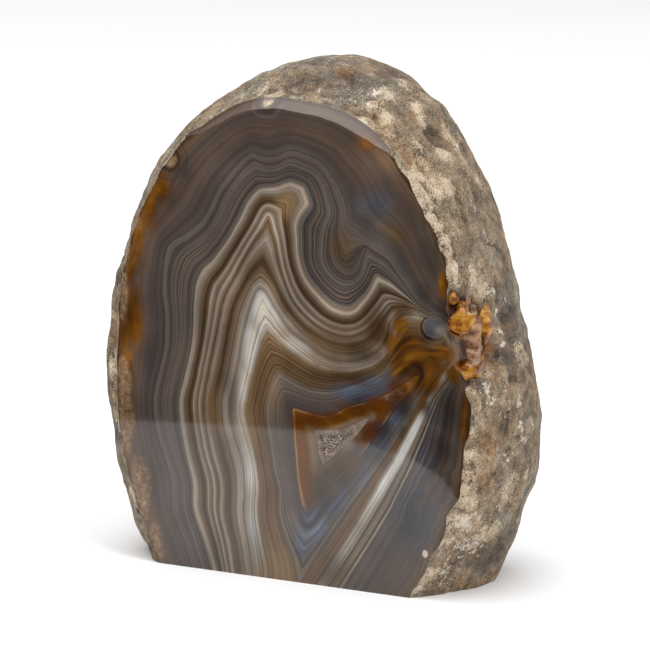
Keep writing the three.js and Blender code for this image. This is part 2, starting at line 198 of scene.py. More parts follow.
# Noise that is the same at the same place every time, between -1 and 1.
def lattice_value(ix, iy, iz, seed):
    parts = (ix, 374761393), (iy, 668265263), (iz, 1274126177)
    mix = sum(i.astype(np.int64) * factor for i, factor in parts) + seed * 1013904223
    mix = (mix & 0xFFFFFFFF).astype(np.uint64)
    mix = ((mix ^ (mix >> np.uint64(13))) * np.uint64(1103515245)) & np.uint64(0xFFFFFFFF)
    mix ^= mix >> np.uint64(16)
    return mix.astype(float) / 2147483648.0 - 1.0


def smooth_noise(points, size, seed):
    scaled = points / size
    corner = np.floor(scaled)
    t = scaled - corner
    t = t * t * (3 - 2 * t)
    corner = corner.astype(np.int64)
    total = np.zeros(points.shape[:-1])
    for dx in (0, 1):
        for dy in (0, 1):
            for dz in (0, 1):
                weight = (
                    (t[..., 0] if dx else 1 - t[..., 0])
                    * (t[..., 1] if dy else 1 - t[..., 1])
                    * (t[..., 2] if dz else 1 - t[..., 2])
                )
                total += weight * lattice_value(
                    corner[..., 0] + dx, corner[..., 1] + dy, corner[..., 2] + dz, seed
                )
    return total


def smoothstep(value, low, high):
    t = np.clip((value - low) / (high - low), 0.0, 1.0)
    return t * t * (3 - 2 * t)


# Distance of a closed outline from the heart, in every direction round it.
def outline_reach(outline, direction):
    corners = np.array(outline, float) - HEART
    angle = np.arctan2(corners[:, 1], corners[:, 0])
    order = np.argsort(angle)
    angle = angle[order]
    reach = np.hypot(corners[:, 0], corners[:, 1])[order]
    turn = 2 * math.pi
    angle = np.concatenate([angle[-2:] - turn, angle, angle[:3] + turn])
    reach = np.concatenate([reach[-2:], reach, reach[:3]])
    slope = np.zeros(len(angle))
    slope[1:-1] = (reach[2:] - reach[:-2]) / (angle[2:] - angle[:-2])
    i = np.searchsorted(angle, direction, side="right") - 1
    span = angle[i + 1] - angle[i]
    t = (direction - angle[i]) / span
    bend = t * t * (3 - 2 * t)
    return (
        reach[i] * (1 - bend)
        + reach[i + 1] * bend
        + span * (slope[i] * t * (1 - t) ** 2 - slope[i + 1] * t * t * (1 - t))
    )


def belly_depth(direction):
    sideways = np.cos(direction)
    side = np.where(sideways < 0, BELLY_DEPTH_LEFT, BELLY_DEPTH_RIGHT)
    return BELLY_DEPTH_TOP + (side - BELLY_DEPTH_TOP) * sideways**2


def bevel_width(direction):
    wide = smoothstep(direction, BEVEL_FROM - BEVEL_FADE, BEVEL_FROM + BEVEL_FADE) * (
        1 - smoothstep(direction, BEVEL_TO - BEVEL_FADE, BEVEL_TO + BEVEL_FADE)
    )
    return ARRIS_WIDTH + (BEVEL_WIDTH - ARRIS_WIDTH) * wide


# Where a straight line out of each point, along its outward direction, goes into and comes
# out of a rounded lump: two distances, not a number where the line misses the lump.
def lump_crossing(points, outwards, at, reach):
    start = (points - np.array(at, float)) / np.array(reach, float)
    run = outwards / np.array(reach, float)
    a = (run * run).sum(-1)
    b = (start * run).sum(-1)
    c = (start * start).sum(-1) - 1
    with np.errstate(invalid="ignore"):
        root = np.sqrt(b * b - a * c)
    return (-b - root) / a, (-b + root) / a


def rind_height(points, way_from_edge, outwards):
    calm = smoothstep(way_from_edge, 0, RIND_CALM_EDGE)
    height = np.zeros(points.shape[:-1])
    for i, (size, rise) in enumerate(RIND_LUMPS):
        height += rise * calm * smooth_noise(points, size, i + 1)
    for form in RIND_FORMS + FINE_FORMS:
        away = points - np.array(form["at"], float)
        if "along" in form:
            run = np.array(form["along"], float)
            run /= np.linalg.norm(run)
            lengthways = away @ run
            away -= lengthways[..., None] * run * (1 - form["spread"] / form["length"])
        height += form["rise"] * np.exp(-(away**2).sum(-1) / form["spread"] ** 2)
    into, out = lump_crossing(points, outwards, **OUTBREAK_HOLLOW)
    return np.where((into < height) & (height < out), into, height)


# Bumps too fine for the solid: lumps, a knobby crust along the cut and in patches of its
# own, short creases, and pits.
def rind_grain(points, way_from_edge):
    grain = np.zeros(points.shape[:-1])
    for i, (size, rise) in enumerate(FINE_LUMPS):
        grain += rise * smooth_noise(points, size, i + 11)
    knobs = np.abs(smooth_noise(points, KNOB_SIZE, 31)) * 2 - 0.5
    crust = 1 - smoothstep(way_from_edge, 0.4 * KNOB_BAND, KNOB_BAND)
    crust = np.maximum(crust, 0.6 * smoothstep(smooth_noise(points, 19, 32), 0.3, 0.6))
    grain += KNOB_RISE * crust * knobs
    crease = 1 - np.abs(smooth_noise(points, CREASE_SIZE, 33))
    here_and_there = smoothstep(smooth_noise(points, 6, 35), 0.05, 0.5)
    grain -= CREASE_DEPTH * here_and_there * smoothstep(crease, 0.86, 1.0)
    grain -= PIT_DEPTH * smoothstep(smooth_noise(points, PIT_SIZE, 34), 0.6, 0.8)
    return grain * smoothstep(way_from_edge, 0.2, 1.6)


# The rind as a grid, one row for each direction round the heart: the face's edge, the
# bevel's outer edge, the belly, then the back up to just before its middle. With it comes
# how far the fine grain lifts each point.
def rind_grid():
    direction = np.arange(SPOKES) / SPOKES * 2 * math.pi - math.pi
    edge = outline_reach(FACE_OUTLINE, direction)
    bevel = bevel_width(direction)
    chipped = 1 - 0.75 * smoothstep(bevel, ARRIS_WIDTH, BEVEL_WIDTH)
    round_rim = np.stack([50 * np.cos(direction), 50 * np.sin(direction), 0 * direction], -1)
    ragged = 1 + RAGGED_RIGHT * smoothstep(np.cos(direction), 0.3, 0.8)
    for i, (size, rise) in enumerate(RIM_WOBBLE):
        edge += rise * chipped * ragged * smooth_noise(round_rim, size, i + 21)
    level = HEART[1] + edge * np.sin(direction)
    heights, breaks = np.array(BROKEN_EDGE).T
    at_right = np.cos(direction) > 0
    edge -= np.where(at_right, np.interp(level, heights, breaks), 0)
    belly = outline_reach(BELLY_OUTLINE, direction)
    widest = belly_depth(direction)
    u = np.arange(FRONT_RINGS + 1) / FRONT_RINGS
    turn = np.arange(1, BACK_RINGS) / BACK_RINGS * math.pi / 2
    reach = np.concatenate([
        (edge - bevel)[:, None],
        edge[:, None] + (belly - edge)[:, None] * np.sin(u * math.pi / 2),
        belly[:, None] * np.cos(turn) ** (2 / BACK_ROUNDNESS),
    ], 1)
    depth = np.concatenate([
        np.zeros((SPOKES, 1)),
        bevel[:, None] + (widest - bevel)[:, None] * u,
        widest[:, None] + (BACK_DEPTH - widest)[:, None] * np.sin(turn) ** (2 / BACK_ROUNDNESS),
    ], 1)

    before = np.maximum(np.arange(reach.shape[1]) - 1, 0)
    after = np.minimum(np.arange(reach.shape[1]) + 1, reach.shape[1] - 1)
    out_reach = depth[:, after] - depth[:, before]
    out_depth = reach[:, before] - reach[:, after]
    size = np.hypot(out_reach, out_depth)
    out_reach, out_depth = out_reach / size, out_depth / size
    step = np.hypot(np.diff(reach, axis=1), np.diff(depth, axis=1))
    way = np.concatenate([np.zeros((SPOKES, 2)), np.cumsum(step[:, 1:], 1)], 1)

    across = np.stack([np.cos(direction), 0 * direction, np.sin(direction)], -1)[:, None]
    deep = np.array([0.0, 1.0, 0.0])
    heart = np.array([HEART[0], 0.0, HEART[1]])
    points = heart + across * reach[..., None] + deep * depth[..., None]
    outwards = across * out_reach[..., None] + deep * out_depth[..., None]
    height = rind_height(points, way, outwards)
    grain = rind_grain(points, way)
    height[:, :2] = 0
    grain[:, :2] = 0
    points = points + outwards * (height + grain)[..., None]
    points[..., 1] = np.maximum(points[..., 1], 0.0)
    return points, grain


# Points inside a flat outline in even rows, every other row set off by half a step.
def rows_of_points(low, high, grain):
    rows = []
    level, row = low[1], 0
    while level < high[1]:
        start = low[0] + (grain / 2 if row % 2 else 0)
        across = np.arange(start, high[0], grain)
        rows.append(np.stack([across, np.full(len(across), level)], 1))
        level += grain * math.sqrt(3) / 2
        row += 1
    return np.concatenate(rows)


def distance_to_line(points, line):
    nearest = np.full(len(points), np.inf)
    for start, end in zip(line[:-1], line[1:]):
        run = end - start
        t = np.clip(((points - start) @ run) / max(run @ run, 1e-9), 0, 1)
        away = points - start - t[:, None] * run
        nearest = np.minimum(nearest, (away**2).sum(1))
    return np.sqrt(nearest)


def closed(line):
    return np.concatenate([line, line[:1]])


def inside(points, outline):
    within = np.zeros(len(points), bool)
    loop = closed(outline)
    for (x0, z0), (x1, z1) in zip(loop[:-1], loop[1:]):
        if z0 == z1:
            continue
        crosses = (points[:, 1] < z0) != (points[:, 1] < z1)
        at = x0 + (points[:, 1] - z0) * (x1 - x0) / (z1 - z0)
        within ^= crosses & (points[:, 0] < at)
    return within


def with_steps(outline, step):
    loop = closed(np.array(outline, float))
    parts = []
    for start, end in zip(loop[:-1], loop[1:]):
        count = max(1, round(np.linalg.norm(end - start) / step))
        parts.append(start + (end - start) * (np.arange(count) / count)[:, None])
    return np.concatenate(parts)


def drawn_in(outline, margin):
    corners = np.array(outline, float)
    before = corners - np.roll(corners, 1, 0)
    after = np.roll(before, -1, 0)
    before /= np.linalg.norm(before, axis=1)[:, None]
    after /= np.linalg.norm(after, axis=1)[:, None]
    inwards = np.stack([before[:, 1] + after[:, 1], -before[:, 0] - after[:, 0]], 1)
    inwards /= np.linalg.norm(inwards, axis=1)[:, None]
    half_corner = np.sqrt((1 + (before * after).sum(1)) / 2)
    return corners + inwards * (margin / half_corner)[:, None]


# A flat sheet of triangles inside an outline, on points of its own and on the outline's.
# Returns the points, the outline's own first, and the triangles.
def flat_sheet(outline, grain, creases=()):
    low, high = outline.min(0), outline.max(0)
    middle = rows_of_points(low, high, grain)
    middle = middle[inside(middle, outline)]
    middle = middle[distance_to_line(middle, closed(outline)) > grain / 2]
    for crease in creases:
        middle = middle[distance_to_line(middle, closed(crease)) > grain / 3]
    points = np.concatenate([outline, *creases, middle])
    edges = []
    first = 0
    for loop in (outline, *creases):
        edges += [(first + i, first + (i + 1) % len(loop)) for i in range(len(loop))]
        first += len(loop)
    made = delaunay_2d_cdt([Vector(p) for p in points], edges, [], 1, 1e-6)
    place = [sources[0] for sources in made[3]]
    triangles = [tuple(place[v] for v in face) for face in made[2]]
    return points, triangles


FACE, RIND, BASE, LUMP = 0, 1, 2, 3


def add_attribute(mesh, name, values):
    layer = mesh.attributes.new(name, "FLOAT", "POINT")
    layer.data.foreach_set("value", np.asarray(values, np.float32))


def stone_mesh():
    grid, grain = rind_grid()
    rings = grid.shape[1]
    points = [grid.reshape(-1, 3)]
    back = np.array([[HEART[0], BACK_DEPTH, HEART[1]]])
    outwards = np.array([[0.0, 1.0, 0.0]])
    back[:, 1] += rind_height(back, np.array([BACK_DEPTH]), outwards)
    back_middle = SPOKES * rings
    points.append(back)

    pocket = with_steps(POCKET_OUTLINE, FACE_GRAIN)
    pocket_floor = with_steps(drawn_in(POCKET_OUTLINE, POCKET_SLOPE), FACE_GRAIN)
    rim = grid[:, 0][:, [0, 2]]
    flat, triangles = flat_sheet(rim, FACE_GRAIN, (pocket, pocket_floor))
    first = back_middle + 1 - SPOKES
    sheet = np.stack([flat[:, 0], np.zeros(len(flat)), flat[:, 1]], 1)
    sunk = inside(flat, drawn_in(POCKET_OUTLINE, POCKET_SLOPE - 0.02))
    sheet[sunk, 1] = POCKET_DEPTH
    points.append(sheet[SPOKES:])

    def face_vertex(v):
        return v * rings if v < SPOKES else first + v

    faces = [tuple(face_vertex(v) for v in face) for face in triangles]
    finishes = [FACE] * len(faces)
    polished = bevel_width(np.arange(SPOKES) / SPOKES * 2 * math.pi - math.pi) > 2 * ARRIS_WIDTH
    for s in range(SPOKES):
        here, after = s * rings, ((s + 1) % SPOKES) * rings
        for i in range(rings - 1):
            faces.append((here + i, here + i + 1, after + i + 1, after + i))
            finishes.append(FACE if i == 0 and polished[s] else RIND)
        faces.append((back_middle, after + rings - 1, here + rings - 1))
        finishes.append(RIND)

    mesh = bpy.data.meshes.new("agate_nodule")
    mesh.from_pydata(np.concatenate(points).tolist(), [], faces)
    mesh.polygons.foreach_set("material_index", finishes)
    relief = np.zeros(len(mesh.vertices))
    relief[:grain.size] = grain.ravel()
    add_attribute(mesh, "relief", relief)
    return mesh


# Saws everything under z = 0 off the stone and closes the cut with a flat sheet.
def saw_base(mesh):
    bm = bmesh.new()
    bm.from_mesh(mesh)
    everything = bm.verts[:] + bm.edges[:] + bm.faces[:]
    bmesh.ops.bisect_plane(
        bm, geom=everything, dist=1e-4, plane_co=(0, 0, 0), plane_no=(0, 0, 1), clear_inner=True
    )
    rim = [edge for edge in bm.edges if edge.is_boundary]
    loop = [rim[0].verts[0], rim[0].verts[1]]
    while True:
        ahead = [e.other_vert(loop[-1]) for e in loop[-1].link_edges if e.is_boundary]
        ahead = [v for v in ahead if v is not loop[-2]]
        if not ahead or ahead[0] is loop[0]:
            break
        loop.append(ahead[0])
    for vert in loop:
        vert.co.z = 0
    outline = np.array([(v.co.x, v.co.y) for v in loop])
    points, triangles = flat_sheet(outline, BASE_GRAIN)
    verts = loop + [bm.verts.new((x, y, 0)) for x, y in points[len(loop):]]
    for a, b, c in triangles:
        face = bm.faces.new((verts[c], verts[b], verts[a]))
        face.material_index = BASE
    bmesh.ops.triangulate(bm, faces=[f for f in bm.faces if len(f.verts) > 3])
    bm.to_mesh(mesh)
    bm.free()
    return outline


# A smooth curve through the points of a line, with a corner only where it turns sharply.
def eased(line):
    points = np.array(line, float)
    run = np.diff(points, axis=0)
    length = np.linalg.norm(run, axis=1)[:, None]
    ahead = run / length
    smooth = ahead[:-1] * length[1:] + ahead[1:] * length[:-1]
    smooth /= np.linalg.norm(smooth, axis=1)[:, None]
    sharp = (ahead[:-1] * ahead[1:]).sum(1)[:, None] < SHARP_TURN
    leaving = np.concatenate([ahead[:1], np.where(sharp, ahead[1:], smooth)])
    arriving = np.concatenate([np.where(sharp, ahead[:-1], smooth), ahead[-1:]])
    parts = []
    for i in range(len(run)):
        count = max(1, round(length[i, 0] / LINE_STEP))
        t = (np.arange(count) / count)[:, None]
        bow = leaving[i] * t * (1 - t) ** 2 - arriving[i] * t * t * (1 - t)
        along = t * t * (3 - 2 * t)
        parts.append(points[i] * (1 - along) + points[i + 1] * along + bow * length[i])
    return np.concatenate(parts + [points[-1:]])


# Number of growth lines that lie outside each point of the face, and how far it is on the
# way from the last of them to the next one.
def growth_band(points):
    direction = np.linspace(-math.pi, math.pi, 240, endpoint=False)
    reach = outline_reach(FACE_OUTLINE, direction)
    rim = HEART + np.stack([np.cos(direction), np.sin(direction)], 1) * reach[:, None]
    lines = [eased(line) for line in GROWTH_LINES]
    for i in range(OPEN_LINES):
        under = [(lines[i][-1][0], UNDER_BASE), (lines[i][0][0], UNDER_BASE)]
        lines[i] = np.concatenate([lines[i], under])
    away = [distance_to_line(points, closed(line)) for line in [rim] + lines]
    within = np.ones(len(points), bool)
    band = np.zeros(len(points))
    for i, line in enumerate(lines):
        outer, inner = away[i], away[i + 1]
        share = outer / np.maximum(outer + inner, 1e-6)
        band = np.where(within, i + share, band)
        within &= inside(points, line)
    core = len(lines) + np.minimum(away[-1] / CORE_WIDTH, 1)
    return np.where(within, core, band), away[0]


# Soft spots of one tint on the face: x, z, how far each spreads both ways, its strength.
FACE_TINTS = {
    "tea": [
        (13, 60, 11, 5.5, 0.75), (22, 60.5, 7, 5, 0.6), (21, 40.5, 2.4, 2, 0.8),
        (9.5, 24, 2, 6, 0.95), (10, 34, 2, 2.4, 0.6), (-38, 10, 4, 5, 0.6), (12, 3, 6, 5, 0.8),
        (-21, 41, 2.4, 8, 0.8), (-8, 40, 3, 4, 0.6), (-3, 46, 2.6, 6, 0.6), (27, 106, 6, 4, 0.6),
    ],
    "honey": [
        (1, 93.5, 3.5, 4, 0.9), (-4, 2, 8, 8, 0.8), (-9.5, 36, 2.5, 7, 0.4),
    ],
    "olive": [
        (16, 84, 4, 6, 0.8), (17.5, 31.5, 5.5, 4.5, 1), (12.5, 26, 3.6, 4.5, 1),
        (8.6, 22.5, 1.6, 3, 0.6), (31, 88, 4, 3, 0.7),
    ],
    "umber": [
        (33, 70, 3.6, 2.6, 0.8), (26, 65, 4.5, 5, 0.9), (24, 59, 4, 4, 0.5),
        (17, 52.5, 12, 2.6, 0.7), (33, 96, 6, 9, 0.25),
    ],
    "amber": [
        (34.5, 61, 5, 4.5, 1), (39, 58.5, 6, 4.4, 1), (32, 66.5, 2.5, 3, 0.9),
        (33, 57, 4.4, 4, 1), (40, 53.6, 3.4, 3.4, 1), (29.5, 62, 3, 4, 0.8),
        (43.5, 60.5, 4, 2.5, 0.9), (36.5, 54, 3.2, 4, 0.9), (46.5, 56, 2.5, 3, 0.9),
        (38.5, 49, 1.8, 4, 0.6), (-43.5, 62, 3, 9, 0.95), (-45.5, 50, 2.6, 8, 0.7),
        (-44.5, 36, 2.4, 8, 0.45), (-35.8, 94.8, 4, 4.2, 0.9), (-38.4, 91, 2.2, 6, 0.9),
        (-42, 84, 2, 6, 0.9), (-44.6, 75, 1.8, 6, 0.9), (-46.4, 57, 1.6, 8, 0.9),
        (-39, 88, 3.5, 6, 0.7), (-42.5, 78, 2.6, 8, 0.6), (22.4, 109.1, 4, 3.5, 0.5),
        (44, 77, 1.8, 4, 1), (49.6, 45, 1.5, 9, 0.9),
    ],
    "tan": [
        (-47.3, 68, 2.6, 9, 0.95), (-47, 45, 3, 8, 0.95), (-46.5, 35, 3.5, 10, 0.9),
        (-42, 17, 3.8, 11, 0.85), (-38, 3, 3.2, 9, 0.8), (-45.6, 79, 1.6, 7, 0.8),
        (-42.4, 88, 1.6, 6, 0.8), (-32.4, 102, 2, 2, 1),
    ],
    "blue": [
        (20, 48.9, 7, 2.2, 1), (26.5, 51.6, 5, 2.2, 0.75), (31, 45, 2.6, 4.5, 0.8),
        (26, 38.5, 3.5, 4.5, 0.9), (20, 31, 4.5, 5.5, 1), (14, 23, 4.5, 5.5, 1),
        (8.5, 15, 4.5, 6, 1), (5, 10, 3, 5, 0.8), (25, 95, 5.5, 4.5, 0.65),
        (40.5, 46, 1.6, 5, 0.5), (38.5, 34, 3, 7, 0.5), (36, 20, 8, 10, 0.6),
    ],
    "pearl": [
        (46.4, 61.4, 2, 3, 1), (47.5, 64.6, 1.4, 1.6, 0.6),
    ],
    "ember": [
        (4.4, 40.4, 3, 2.6, 0.7), (9, 40.8, 4, 2.4, 1), (14, 42.3, 5, 1.6, 0.9),
        (20, 44.3, 5, 1.8, 1), (27, 46.5, 5, 2.5, 1), (32, 50.5, 4, 3, 0.9), (24, 40, 3, 3, 1),
        (20, 37.5, 2, 2, 0.5),
    ],
    "milky": [
        (-7, 67, 3.6, 6, 0.9), (-9.2, 57, 2.4, 8, 0.95), (-11.4, 46, 1.8, 7, 0.7),
        (3, 58.8, 4.5, 2.4, 0.5), (-2.6, 66, 2.4, 4, 0.5), (-9.5, 27, 3, 7, 0.55),
        (-8.7, 13, 2.5, 8, 0.45),
    ],
    "sugary": [
        (30.6, 50.4, 2.8, 1.3, 1), (28.2, 48.6, 1.6, 1.2, 0.7),
    ],
    "light": [
        (-3, 88, 4, 7, 0.9), (-2, 94, 6, 3, 0.35), (-15, 70, 3.4, 8, 0.5), (-21, 70, 2.4, 6, 0.4),
        (-3, 73, 3, 6, 0.55), (15, 70, 5, 3.4, 0.5), (27, 106, 6, 3.6, 0.9),
        (27, 88, 3, 3.4, 0.5), (-3, 51, 2.6, 8, 0.65), (-9, 40, 2, 4, 0.5),
        (-15, 100, 6, 3.4, 0.4), (-39, 82, 2.4, 4, 0.4), (-45.4, 52, 1.6, 3, 0.8),
        (3, 65, 4, 2.4, 0.35), (33, 70, 3, 2, 0.5), (9, 16, 3, 3, 0.35), (-15, 7, 3, 7, 0.35),
        (3, 16, 2, 3, 0.3), (27, 28, 2, 3, 0.3),
    ],
    # Dark spots: darker stone, and along the face's right edge painted shadow where the rind's crust
    # stands over it.
    "dark": [
        (50.6, 44, 1.2, 8, 1), (49.8, 33, 1.2, 6, 1), (44.8, 78, 1.3, 4, 0.9),
        (42, 86, 1.3, 4.4, 0.8), (38.6, 92.6, 1.4, 4, 0.7), (15, 28, 3, 3, 0.5),
        (45, 28, 3, 4, 0.6), (21, 16, 3, 3, 0.35), (-9, 58, 2, 4, 0.25), (44.6, 69.4, 2, 2.4, 1),
        (32.6, 58, 2.4, 3, 0.7), (33, 64, 2.4, 2.4, 0.6), (45.5, 47, 5, 10, 1),
        (43.5, 38, 5, 6, 0.95), (33, 46.4, 3, 3.6, 1), (27.6, 40.6, 2.4, 3, 0.9),
        (45, 71.5, 3.4, 5, 1), (47, 54, 3, 4, 0.75), (41, 84, 5, 8, 0.55), (36, 92, 5, 8, 0.35),
        (44, 30, 4, 6, 0.5), (-27.8, 99.7, 2, 3, 0.35), (39.5, 51.6, 3, 3, 0.85),
        (46, 62, 1.5, 2, 0.3), (9, 85, 4.5, 7, 0.35), (2, 101, 8, 3.5, 0.3), (-3, 112, 8, 3, 0.2),
        (21, 75, 4, 4, 0.3), (33, 70.4, 4, 2.8, 0.5), (39, 75, 3, 4, 0.6),
        (20.5, 58.4, 4.4, 3, 0.9), (27, 64.5, 3.4, 3, 0.4), (33, 40.4, 1.6, 3, 0.7),
        (20, 52.5, 6, 2, 0.3), (39, 64, 2.2, 2, 0.9), (45.2, 65, 1.8, 2.4, 0.8),
        (-45, 60.5, 3, 5, 0.7), (-45, 38, 3, 6, 0.6), (10, 24, 4, 6, 0.55), (12, 29, 4, 3, 0.5),
        (39, 47, 2.4, 3, 0.8), (36, 18, 7, 9, 0.45), (14, 5, 5, 6, 0.6), (-9, 8, 3, 8, 0.4),
        (-20, 4, 4, 5, 0.4), (-3, 22, 2.6, 5, 0.45), (-39, 22, 3.4, 5, 0.5),
        (-15, 44, 2.2, 9, 0.65), (-15, 33, 2.2, 5, 0.4), (27, 34.4, 2.2, 3, 0.5),
        (26, 94, 4.6, 4, 0.5), (-9, 64, 2, 4, 0.35), (27, 11, 4, 4, 0.35), (-33, 93, 2.6, 3, 0.5),
        (-39, 53, 2.4, 5, 0.45), (27, 58, 2.6, 2.6, 0.45), (27, 70, 2.4, 2.6, 0.35),
        (21, 46.4, 3, 1.8, 0.7), (39, 70, 3, 2.4, 0.5), (15, 58, 2.6, 2.6, 0.35),
    ],
}

# The white streak from the outbreak down to the base, and how strong it is at each height.
STREAK_PATH = [(41.5, 51), (38.2, 45.5), (35.6, 41), (30.6, 32.6), (25.4, 24), (20, 15.5),
               (14.5, 7)]
STREAK_WIDTH = 2.1
STREAK_STRENGTH = [(6, 0), (12, 0.2), (20, 0.4), (27, 0.7), (33, 0.9), (40, 1), (45, 0.6), (49, 0)]

